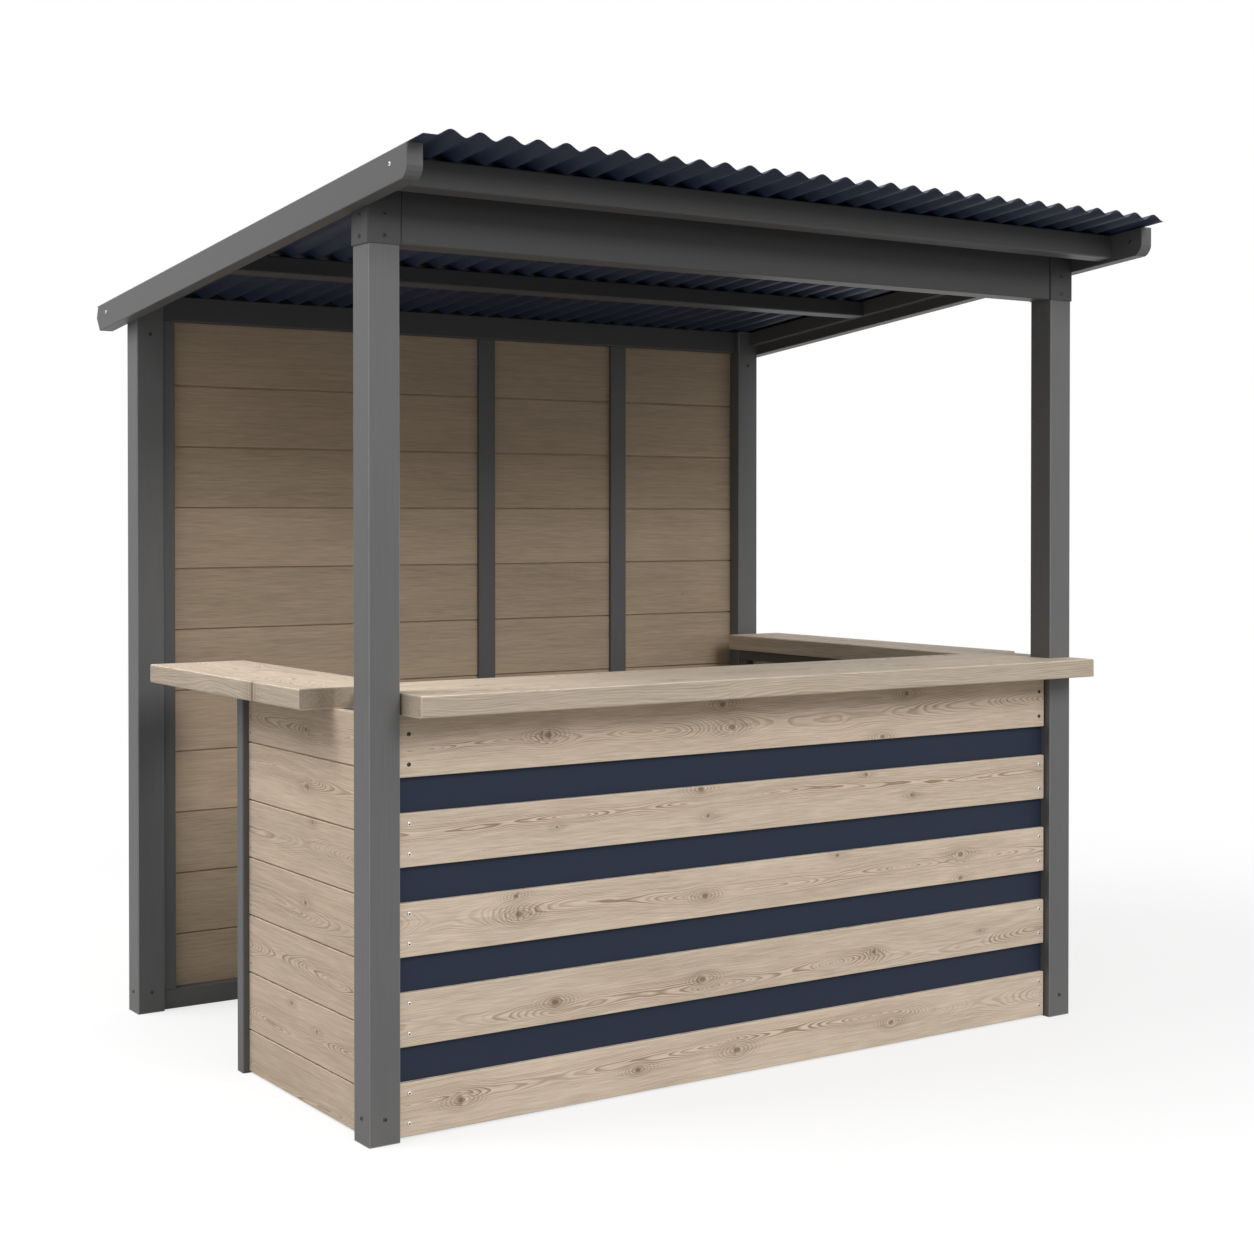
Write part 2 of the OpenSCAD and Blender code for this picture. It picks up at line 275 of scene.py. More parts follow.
class KnotRings(Effect):
    """A knot: the grain flows round it, and its core is dark. Several are chained through Shift and Core."""

    name = "knot_rings"
    inputs = {"Point": "Vector", "Centre": "Vector", "Radius": "Float", "Shift": "Float", "Core": "Float"}
    outputs = {"Shift": "Float", "Core": "Float"}
    # A knot is a little longer along the grain than across it
    stretch = (0.66, 1.0, 0.0)
    # The growth lines round a knot make an eye that is longer still
    eye = (0.40, 1.0, 0.0)
    # How far noise moves the outline, in metres, and the scale of that noise along and across the grain
    shake = 0.004
    shake_scales = (70.0, 83.0)
    # Where the grain parts and where the core and the growth lines fade out, in knot radii
    parting = 1.5
    core_fade = (0.45, 1.0)
    line_fade = (0.8, 4.2)
    # The growth lines: the first in knot radii, the turns to a radius in radians, and half their depth
    first_line = 0.9
    line_rate = 12.0
    line_depth = 0.30

    def wire(self, tree: Tree, given: dict[str, Value]) -> dict[str, Value]:
        """Adds this knot to the chain.

        Args:
            tree: The tree of the group.
            given: The group's inputs by name.

        Returns:
            How far the grain moves aside and how dark it is, for the next knot in the chain.
        """
        offset = tree.vector("SUBTRACT", given["Point"], given["Centre"])
        shaken = tree.joined(*(tree.noise(given["Point"], scale) for scale in self.shake_scales))
        rough = tree.scaled(shaken, self.shake)
        outlines = []
        for form in (self.stretch, self.eye):
            moved = tree.vector("ADD", tree.vector("MULTIPLY", offset, form), rough)
            outlines.append(tree.length(moved) / given["Radius"])
        away, wide = outlines
        share = tree.math("POWER", tree.math("DIVIDE", self.parting, away), 2.0)
        pull = tree.parts(offset)["Y"] * tree.math("MINIMUM", share, 1.0)
        heart = tree.fade(away, *self.core_fade, 1.0, 0.0)
        lines = tree.math("COSINE", (wide - self.first_line) * self.line_rate)
        halo = (lines + 1.0) * tree.fade(wide, *self.line_fade, self.line_depth, 0.0)
        core = tree.math("MAXIMUM", heart, halo)
        return {"Shift": given["Shift"] - pull, "Core": tree.math("MAXIMUM", given["Core"], core)}


@dataclass
class BoardPlace:
    """A place in a numbered board: along, across and through it, and along a run of its own."""

    tree: Tree
    along: Value
    across: Value
    through: Value
    number: Value
    run: Value
    row_step: float = 5.3

    def stretched(self, features: tuple[float, float]) -> Value:
        """Gives the place for a pattern with so many features to a metre along and across the grain."""
        side = self.across * features[1] + self.number * self.row_step
        return self.tree.joined(self.run * features[0], side, self.through * features[1])

    def noise(self, features: tuple[float, float], detail: float = 2.0) -> Value:
        """Gives noise with so many features to a metre along and across the grain."""
        return self.tree.noise(self.stretched(features), 1.0, detail)


class TimberGrain(Effect):
    """Growth rings cut by the board's faces, with fibres, streaks, pin knots and darker end grain."""

    name = "timber_grain"
    inputs = {
        "Board": "Vector", "Number": "Float", "Low End": "Float", "High End": "Float",
        "Ring": "Float", "Heart": "Float", "Lean": "Float", "Core": "Float",
        "Early": "Color", "Late": "Color", "Knot": "Color",
    }
    outputs = {"Colour": "Color", "Roughness": "Float", "Height": "Float"}
    # Features to a metre along and across the grain
    fibres = (15.0, 380.0)
    streaks = (8.0, 150.0)
    patches = (1.6, 9.0)
    wobbles = (7.0, 30.0)
    bands = (3.0, 22.0)
    pin_cells = (6.0, 11.0)
    # How far the boards lie apart in each pattern
    run_step, line_step, spread_step = 2.37, 7.1, 3.3
    line_gap = (31.7, 3.1, 0.0)
    # How much the tone changes with each pattern, from board to board and on the end grain
    patch_tone, fibre_tone, streak_tone = 0.26, 0.56, 0.38
    board_tone, end_tone = 0.13, 0.16
    end_skin = (0.0004, 0.0016)
    # The heart of the tree: how often it wanders in a metre, and how far
    sway_scale, sway = 1.4, 0.07
    rise_scale, rise = 1.3, 0.17
    ripple_scale, ripple = 9.0, 0.006
    heart_spread, wobble = 0.05, 0.007
    # Uneven years: changes to a metre of the radius, and how many years they amount to
    spread_scale, spread = 60.0, 1.8
    # Where in a year the late wood comes and where it stops
    late_start, late_stop = (0.30, 0.84), (0.86, 1.0)
    # How strongly the late wood shows: the least and the usual, by band, near the heart and by year
    late_least, late_usual, band_share, year_usual = 0.05, 0.34, 1.2, 0.45
    heart_fade, heart_share = (0.014, 0.050), 0.40
    # Pin knots: the lot from which a cell has one, their size for it, their soft rim and their depth
    pin_lot, pin_size, pin_rim, pin_depth = 0.55, 0.085, 0.012, 0.62
    # How far a knot's colour covers the wood, and how far knots sink and late wood stands out
    knot_cover, knot_sink, ring_relief = 0.72, 0.4, 0.4
    usual_roughness, fibre_roughness = 0.64, 0.3

    def wire(self, tree: Tree, given: dict[str, Value]) -> dict[str, Value]:
        """Links the rings, the fibres and the tone of each board.

        Args:
            tree: The tree of the group.
            given: The group's inputs by name.

        Returns:
            The colour, the roughness and the height for a bump.
        """
        along, across, through = tree.parts(given["Board"]).values()
        number = given["Number"]
        lots = tree.out("ShaderNodeTexWhiteNoise", {"W": number}, "Color", noise_dimensions="1D")
        dice = tree.parts(lots)
        run = along + number * self.run_step
        board = BoardPlace(tree, along, across, through, number, run)
        rings = self.rings(board, given, dice["X"])
        fibre = board.noise(self.fibres, 3.0)
        streak = board.noise(self.streaks)
        patch = board.noise(self.patches)
        tone = patch * self.patch_tone + fibre * self.fibre_tone + streak * self.streak_tone
        tone = tone + (dice["Z"] - 0.5) * self.board_tone
        low, high = along - given["Low End"], given["High End"] - along
        ends = tree.math("MAXIMUM", *(tree.fade(end, *self.end_skin, 1.0, 0.0) for end in (low, high)))
        tone = tone - ends * self.end_tone
        colour = tree.scaled(tree.mix(rings, given["Early"], given["Late"]), tone + 1.0)
        dark = tree.math("MAXIMUM", given["Core"], self.pins(board))
        return {
            "Colour": tree.mix(dark * self.knot_cover, colour, given["Knot"]),
            "Roughness": fibre * self.fibre_roughness + self.usual_roughness,
            "Height": rings * self.ring_relief + fibre - dark * self.knot_sink,
        }

    def pins(self, board: BoardPlace) -> Value:
        """Links the small dark pin knots that lie here and there.

        Args:
            board: The place in the board.

        Returns:
            How dark a pin knot is, from 0 to 1.
        """
        tree = board.tree
        inputs = {"Vector": board.stretched(self.pin_cells), "Scale": 1.0}
        cell = tree.add("ShaderNodeTexVoronoi", inputs).outputs
        lot = tree.parts(Value(tree, cell["Color"]))["X"]
        size = tree.math("MAXIMUM", lot - self.pin_lot, 0.0) * self.pin_size
        past = Value(tree, cell["Distance"]) - size
        return tree.fade(past, -self.pin_rim, self.pin_rim, self.pin_depth, 0.0)

    def rings(self, board: BoardPlace, given: dict[str, Value], lot: Value) -> Value:
        """Links the rings round a heart that wanders along the board.

        Args:
            board: The place in the board.
            given: The group's inputs by name.
            lot: A random number of the board, from 0 to 1.

        Returns:
            How much late wood shows, from 0 to about 1.
        """
        tree, number = board.tree, board.number
        line = tree.joined(board.run, number * self.line_step)
        apart = tree.vector("ADD", line, self.line_gap)
        sway = tree.noise(line, self.sway_scale, 1.0) * self.sway
        rise = tree.noise(apart, self.rise_scale, 1.0) * self.rise
        ripple = tree.noise(apart, self.ripple_scale, 1.0) * self.ripple
        heart_across = (lot - 0.5) * self.heart_spread + sway + given["Lean"]
        heart_through = rise + ripple + given["Heart"]
        offset = tree.joined(board.across - heart_across, board.through - heart_through)
        reach = tree.length(offset) + board.noise(self.wobbles) * self.wobble
        spread = tree.noise(tree.joined(reach * self.spread_scale, number * self.spread_step))
        age = reach / given["Ring"] + spread * self.spread
        year = tree.math("FRACT", age)
        late = tree.fade(year, *self.late_start) - tree.fade(year, *self.late_stop)
        lots = {"Vector": tree.joined(tree.math("FLOOR", age), number)}
        weather = tree.out("ShaderNodeTexWhiteNoise", lots, "Value", noise_dimensions="2D")
        near = tree.fade(reach, *self.heart_fade, self.heart_share, 0.0)
        amount = board.noise(self.bands) * self.band_share + (near + self.late_usual)
        amount = tree.math("MAXIMUM", amount, self.late_least) * (weather + self.year_usual)
        return late * amount


class CoatTexture(Effect):
    """Powder coat on drawn steel: streaks along the section, clouds, a fine orange peel and dust low down."""

    name = "coat_texture"
    inputs = {"Place": "Vector", "Streaks": "Vector", "Colour": "Color", "Depth": "Float", "Sheen": "Float"}
    outputs = {"Colour": "Color", "Roughness": "Float", "Height": "Float"}
    # How fine each pattern is, and how much it changes the tone
    cloud_scale, peel_scale, dust_scale = 3.1, 620.0, 26.0
    streak_tone, cloud_tone, peel_tone = 0.9, 0.7, 0.25
    uneven_sheen = 0.12
    # Dust: how high it lies, how much of it there is, its usual share and its colour
    dust_height, dust_most, dust_usual = 0.16, 0.16, 0.7
    dust_colour = tint(150, 146, 138)

    def wire(self, tree: Tree, given: dict[str, Value]) -> dict[str, Value]:
        """Links the streaks, the clouds, the peel and the dust.

        Args:
            tree: The tree of the group.
            given: The group's inputs by name.

        Returns:
            The colour, the roughness and the height for a bump.
        """
        place = given["Place"]
        streak = tree.noise(tree.vector("MULTIPLY", place, given["Streaks"]), 1.0, 3.0)
        cloud = tree.noise(place, self.cloud_scale)
        peel = tree.noise(place, self.peel_scale, 1.0)
        tone = streak * self.streak_tone + cloud * self.cloud_tone + peel * self.peel_tone
        tone = tone * given["Depth"] + 1.0
        dust = tree.fade(tree.parts(place)["Z"], 0.0, self.dust_height, self.dust_most, 0.0)
        dust = dust * (tree.noise(place, self.dust_scale, 3.0) + self.dust_usual)
        return {
            "Colour": tree.mix(dust, tree.scaled(given["Colour"], tone), self.dust_colour),
            "Roughness": given["Sheen"] + (streak + cloud) * self.uneven_sheen + dust,
            "Height": peel,
        }


class EdgeWearHighlightMask(Effect):
    """Shows where a square-edged piece has its edges, with small breaks along them, for pale edges that are
    partly wear and partly painted highlight.
    """

    name = "edge_wear_highlight_mask"
    inputs = {"Place": "Vector", "Low": "Vector", "High": "Vector", "Width": "Float", "Ragged": "Float"}
    outputs = {"Mask": "Float"}
    break_scale, break_level = 34.0, 0.28

    def wire(self, tree: Tree, given: dict[str, Value]) -> dict[str, Value]:
        """Takes the second nearest face's distance as the distance to an edge.

        Args:
            tree: The tree of the group.
            given: The group's inputs by name.

        Returns:
            The mask of the edges, about 1 on them and 0 away from them.
        """
        place = given["Place"]
        low = tree.vector("SUBTRACT", place, given["Low"])
        high = tree.vector("SUBTRACT", given["High"], place)
        x, y, z = tree.parts(tree.vector("MINIMUM", low, high)).values()
        least, most = tree.math("MINIMUM", x, y), tree.math("MAXIMUM", x, y)
        second = tree.math("MAXIMUM", least, tree.math("MINIMUM", most, z))
        edge = tree.fade(second, 0.0, given["Width"], 1.0, 0.0)
        uneven = (tree.noise(place, self.break_scale, 3.0) - self.break_level) * given["Ragged"]
        return {"Mask": edge * (uneven + 1.0)}


class Lay(Enum):
    """The axes along a board's grain, across its face and through it."""

    WALL_X = "XZY"
    WALL_Y = "YZX"
    TOP_X = "XYZ"
    TOP_Y = "YXZ"


class Run(Enum):
    """Features to a metre along each axis, for the streaks of a section that runs along one of them."""

    ALONG_X = (5.0, 260.0, 260.0)
    ALONG_Y = (260.0, 5.0, 260.0)
    ALONG_Z = (260.0, 260.0, 5.0)


@dataclass(frozen=True)
class Knot:
    """A knot on a board's face: its place along and across the board, and its radius."""

    along: float
    across: float
    radius: float


@dataclass(frozen=True)
class Rows:
    """How boards lie side by side, and where the heart of the tree lies from their middle.

    The heart is through the board and the lean is across it.
    """

    lay: Lay
    first: float
    pitch: float
    middle: float
    depth: float
    low_end: float
    high_end: float
    seed: float
    heart: float = 0.008
    lean: float = 0.0

    @classmethod
    def within(cls, box: Box, lay: Lay, **rest: float) -> "Rows":
        """Takes the depth and the ends of the boards from the box that they fill.

        Args:
            box: The low and high corner of the boards.
            lay: The axes that the boards lie along.
            **rest: The other fields.

        Returns:
            The rows.
        """
        along, _, through = ("XYZ".index(axis) for axis in lay.value)
        low, high = box
        depth = (low[through] + high[through]) / 2
        return cls(lay, depth=depth, low_end=low[along], high_end=high[along], **rest)


@dataclass(frozen=True)
class WornAndHighlitEdges:
    """How the edges of a piece are paled, partly by wear and partly as painted highlight: their pale colour,
    how far it covers, how ragged and how wide.
    """

    pale: Colour
    cover: float
    ragged: float
    width: float = 0.004


class Surface:
    """A new material with one Principled shader, and the place on the piece that its patterns read."""

    def __init__(self, name: str) -> None:
        """Makes the material.

        Args:
            name: The name of the material.
        """
        self.material = bpy.data.materials.new(name)
        self.tree = Tree.cleared(self.material)
        self.shader = self.tree.add("ShaderNodeBsdfPrincipled")
        self.tree.add("ShaderNodeOutputMaterial", {"Surface": Value(self.tree, self.shader.outputs[0])})
        self.place = self.tree.out("ShaderNodeTexCoord", None, "Object")

    def with_edge_wear_and_highlight(self, colour: Value, edge_wear_and_highlight: WornAndHighlitEdges, edges: Box) -> Value:
        """Pales the edges of a piece: partly wear, partly painted highlight.

        Args:
            colour: The colour of the piece.
            edge_wear_and_highlight: How its edges are paled by wear and painted highlight.
            edges: Its low and high corner.

        Returns:
            The colour with its pale edges.
        """
        low, high = edges
        spots = {"Place": self.place, "Low": low, "High": high, "Width": edge_wear_and_highlight.width, "Ragged": edge_wear_and_highlight.ragged}
        mask = EdgeWearHighlightMask().place(self.tree, spots)["Mask"]
        return self.tree.mix(mask * edge_wear_and_highlight.cover, colour, edge_wear_and_highlight.pale)

    def relief(self, height: Value, depth: float, strength: float) -> Value:
        """Gives the normal of a surface with a fine relief."""
        inputs = {"Height": height, "Distance": depth, "Strength": strength}
        return self.tree.out("ShaderNodeBump", inputs)

    def finish(self, **looks: Any) -> bpy.types.Material:
        """Feeds the shader.

        Args:
            **looks: What the shader's inputs get, by their names with underscores.

        Returns:
            The material.
        """
        for name, value in looks.items():
            self.tree.feed(self.shader.inputs[name.replace("_", " ")], value)
        return self.material


@dataclass(frozen=True)
class Timber:
    """A softwood in one colour, as it comes from the saw."""

    early: Colour
    late: Colour
    knot: Colour
    ring: float = 0.0026
    relief: float = 0.0005
    relief_strength: float = 0.6
    gloss: float = 0.25
    # Painted shade: the tone of the sides of a piece with pale edges, against that of its top and underside
    painted_side_shade: float = 1.0
    painted_side_shade_fade: tuple[float, float] = (0.3, 0.7)
    # Pale edges: painted highlight on the eased arrises of the slats and counters, with some wear
    edge_wear_and_highlight: WornAndHighlitEdges = WornAndHighlitEdges(pale=tint(232, 221, 204), cover=0.62, ragged=0.4)

    def material(
        self, name: str, rows: Rows, knots: Sequence[Knot] = (), edges: Box | None = None
    ) -> bpy.types.Material:
        """Makes the timber's material for one run of boards.

        Args:
            name: The name of the material.
            rows: How the boards lie side by side.
            knots: The knots that show.
            edges: The low and high corner of a piece whose edges get pale wear and painted highlight, if it
                has any.

        Returns:
            The material.
        """
        surface = Surface(name)
        tree = surface.tree
        axes = tree.parts(surface.place)
        along, across, through = (axes[letter] for letter in rows.lay.value)
        row = tree.math("FLOOR", (across - rows.first) / rows.pitch)
        middle = row * rows.pitch + (rows.first + rows.middle)
        bend = {"Shift": 0.0, "Core": 0.0}
        for knot in knots:
            spot = {"Point": tree.joined(along, across), "Centre": (knot.along, knot.across, 0.0)}
            bend = KnotRings().place(tree, {**spot, "Radius": knot.radius, **bend})
        side = across - middle + bend["Shift"]
        grain = TimberGrain().place(tree, {
            "Board": tree.joined(along, side, through - rows.depth), "Number": row + rows.seed,
            "Low End": rows.low_end, "High End": rows.high_end,
            "Ring": self.ring, "Heart": rows.heart, "Lean": rows.lean, "Core": bend["Core"],
            "Early": self.early, "Late": self.late, "Knot": self.knot,
        })
        colour = grain["Colour"]
        if edges:
            # Painted shade: upright sides come out darker than the top and underside
            normal = tree.out("ShaderNodeNewGeometry", None, "Normal")
            level = tree.math("ABSOLUTE", tree.parts(normal)["Z"])
            colour = tree.scaled(colour, tree.fade(level, *self.painted_side_shade_fade, self.painted_side_shade, 1.0))
            colour = surface.with_edge_wear_and_highlight(colour, self.edge_wear_and_highlight, edges)
        normal = surface.relief(grain["Height"], self.relief, self.relief_strength)
        looks = {"Base_Color": colour, "Roughness": grain["Roughness"], "Normal": normal}
        return surface.finish(**looks, Specular_IOR_Level=self.gloss)


@dataclass(frozen=True)
class Coat:
    """A coat of powder or paint on a smooth base."""

    colour: Colour
    depth: float
    sheen: float
    gloss: float
    peel: float = 0.00004
    peel_strength: float = 0.5
    # Pale edges: painted highlight along the rounded corners of the posts, with some wear
    edge_wear_and_highlight: WornAndHighlitEdges = WornAndHighlitEdges(pale=tint(176, 177, 177), cover=0.6, ragged=0.6)

    def material(self, name: str, run: Run, edges: Box | None = None) -> bpy.types.Material:
        """Makes the coat's material for pieces that run one way.

        Args:
            name: The name of the material.
            run: The way that the pieces run.
            edges: The low and high corner of a piece whose edges get pale wear and painted highlight, if it
                has any.

        Returns:
            The material.
        """
        surface = Surface(name)
        coat = CoatTexture().place(surface.tree, {
            "Place": surface.place, "Streaks": run.value,
            "Colour": self.colour, "Depth": self.depth, "Sheen": self.sheen,
        })
        colour = surface.with_edge_wear_and_highlight(coat["Colour"], self.edge_wear_and_highlight, edges) if edges else coat["Colour"]
        normal = surface.relief(coat["Height"], self.peel, self.peel_strength)
        looks = {"Base_Color": colour, "Roughness": coat["Roughness"], "Normal": normal}
        return surface.finish(**looks, Specular_IOR_Level=self.gloss)


@dataclass(frozen=True)
class BareMetal:
    """Plated or blackened steel of the fasteners, with a slightly stained surface and painted shade in the
    recesses.
    """

    colour: Colour
    # The colour of the painted shade in a head's recess
    recess: Colour
    sheen: float
    metallic: float = 0.85
    stain_scale: float = 900.0
    stain_tone: float = 0.5
    stain_sheen: float = 0.3

    def material(self, name: str) -> bpy.types.Material:
        """Makes the metal's material.

        Args:
            name: The name of the material.

        Returns:
            The material.
        """
        surface = Surface(name)
        tree = surface.tree
        stain = tree.noise(surface.place, self.stain_scale, 3.0)
        deep = tree.out("ShaderNodeAttribute", None, "Fac", attribute_name=HOLLOW)
        # Painted shade: the recess of a head takes the dark recess colour
        colour = tree.scaled(tree.mix(deep, self.colour, self.recess), stain * self.stain_tone + 1.0)
        roughness = stain * self.stain_sheen + self.sheen
        return surface.finish(Base_Color=colour, Roughness=roughness, Metallic=self.metallic)


PINE = Timber(early=tint(232, 213, 191), late=tint(172, 147, 120), knot=tint(112, 90, 68))
# The counters' timber, with painted shade on their sides
COUNTER_PINE = Timber(
    early=tint(220, 203, 182), late=tint(160, 139, 115), knot=tint(112, 90, 68), ring=0.0042, painted_side_shade=0.80,
)
BOARD_PINE = Timber(early=tint(216, 196, 173), late=tint(158, 136, 111), knot=tint(110, 88, 66))
SHADED_PINE = Timber(early=tint(198, 176, 150), late=tint(160, 137, 112), knot=tint(110, 90, 70))
GRAPHITE = Coat(colour=tint(108, 108, 108), depth=0.26, sheen=0.50, gloss=0.35)
# Darker copies of the graphite as painted shade: half shade for the studs, battens, rails, rafters and
# ledgers, deep shade for the headers, purlins and sleeves under the roof
HALF_SHADE_GRAPHITE = Coat(colour=tint(97, 97, 97), depth=0.26, sheen=0.50, gloss=0.35)
DEEP_SHADE_GRAPHITE = Coat(colour=tint(72, 72, 72), depth=0.26, sheen=0.50, gloss=0.35)
PANEL_NAVY = Coat(colour=tint(37, 46, 64), depth=0.14, sheen=0.62, gloss=0.25)
SHEET_NAVY = Coat(colour=tint(40, 51, 76), depth=0.20, sheen=0.48, gloss=0.35)
# Near black, for the strip that darkens the gaps between the waves and the back header
DARK_FILL = Coat(colour=tint(34, 34, 35), depth=0.40, sheen=0.85, gloss=0.10)
ZINC = BareMetal(colour=tint(222, 223, 222), recess=tint(40, 40, 40), sheen=0.42)
BLACKED = BareMetal(colour=tint(78, 76, 73), recess=tint(20, 20, 20), sheen=0.5)


class Slot(Enum):
    """Names of two material slots, for the frame's metal and the roof's metal."""

    FRAME = "frame_metal"
    ROOF = "roof_metal"


def dress(node: str, material: bpy.types.Material) -> None:
    """Gives a node of the model its material.

    Args:
        node: The name of the node.
        material: What it is made of.
    """
    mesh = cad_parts[node].data
    mesh.materials.clear()
    mesh.materials.append(material)


def add_object(name: str, data: bpy.types.ID) -> bpy.types.Object:
    """Puts a mesh, a lamp or a camera into the scene.

    Args:
        name: The name of the object.
        data: The mesh, lamp or camera.

    Returns:
        The object.
    """
    new = bpy.data.objects.new(name, data)
    bpy.context.scene.collection.objects.link(new)
    return new


def as_mesh(name: str, shape: bmesh.types.BMesh) -> bpy.types.Mesh:
    """Turns a shape into a mesh.

    Args:
        name: The name of the mesh.
        shape: The shape, which is used up.

    Returns:
        The mesh.
    """
    mesh = bpy.data.meshes.new(name)
    shape.to_mesh(mesh)
    shape.free()
    return mesh


def as_solid(name: str, shape: bmesh.types.BMesh) -> bpy.types.Mesh:
    """Turns a closed shape into a mesh whose faces look outwards."""
    bmesh.ops.recalc_face_normals(shape, faces=shape.faces)
    return as_mesh(name, shape)


def skin(shape: bmesh.types.BMesh, low: Points, high: Points) -> None:
    """Joins two rings of the same number of points with four-sided faces.

    Args:
        shape: The shape that gets the faces.
        low: The first ring.
        high: The second ring.
    """
    for k, point in enumerate(low):
        after = (k + 1) % len(low)
        shape.faces.new((point, low[after], high[after], high[k]))


def lathe(shape: bmesh.types.BMesh, outline: Outline, sides: int) -> Points:
    """Turns an outline round the z axis.

    Args:
        shape: The shape that gets the faces.
        outline: Radius and height of each ring, from the bottom up; the bottom is closed.
        sides: The number of sides.

    Returns:
        The top ring, which is left open.
    """
    turns = [2 * math.pi * (k - 0.5) / sides for k in range(sides)]
    rings = [[shape.verts.new((r * math.cos(a), r * math.sin(a), z)) for a in turns] for r, z in outline]
    shape.faces.new(reversed(rings[0]))
    for low, high in zip(rings, rings[1:]):
        skin(shape, low, high)
    return rings[-1]


class Recipe:
    """A Geometry Nodes tree with named inputs, run once on an object and left as a plain mesh."""

    def __init__(self, name: str, inputs: dict[str, str]) -> None:
        """Makes the tree with its sockets.

        Args:
            name: The name of the tree.
            inputs: The kind of each input by name.
        """
        self.group = bpy.data.node_groups.new(name, "GeometryNodeTree")
        self.keys = {}
        for title, kind in {"Geometry": "Geometry", **inputs}.items():
            socket = self.group.interface.new_socket(title, in_out="INPUT", socket_type=f"NodeSocket{kind}")
            self.keys[title] = socket.identifier
        self.group.interface.new_socket("Geometry", in_out="OUTPUT", socket_type="NodeSocketGeometry")
        self.tree = Tree(self.group)
        start = self.tree.add("NodeGroupInput")
        self.given = {title: Value(self.tree, start.outputs[title]) for title in self.keys}

    def close(self, geometry: Value) -> None:
        """Ends the tree in plain, finished geometry.

        Args:
            geometry: What the tree has made.
        """
        real = self.tree.out("GeometryNodeRealizeInstances", {"Geometry": geometry})
        inputs = {"Geometry": real, "Material": self.given["Material"]}
        finished = self.tree.out("GeometryNodeSetMaterial", inputs)
        self.tree.add("NodeGroupOutput", {"Geometry": finished})

    def run(self, name: str, start: bpy.types.Mesh, values: Mapping[str, Any]) -> bpy.types.Object:
        """Runs the tree on a mesh.

        Args:
            name: The name of the piece.
            start: The mesh that goes in.
            values: The inputs' values by name.

        Returns:
            The piece, with the result as its own mesh and no modifier.
        """
        piece = add_object(name, start)
        modifier = piece.modifiers.new(name, "NODES")
        modifier.node_group = self.group
        for title, value in values.items():
            modifier[self.keys[title]] = value
        piece.update_tag()
        graph = bpy.context.evaluated_depsgraph_get()
        graph.update()
        made = bpy.data.meshes.new_from_object(piece.evaluated_get(graph), depsgraph=graph)
        piece.modifiers.clear()
        piece.data = made
        made.name = name
        bpy.data.meshes.remove(start)
        return piece


class Fastener(Enum):
    """The kinds of fastener that show."""

    PAN = "pan_screws"
    DARK = "dark_screws"
    HEX = "roof_screws"
    NAIL = "board_nails"


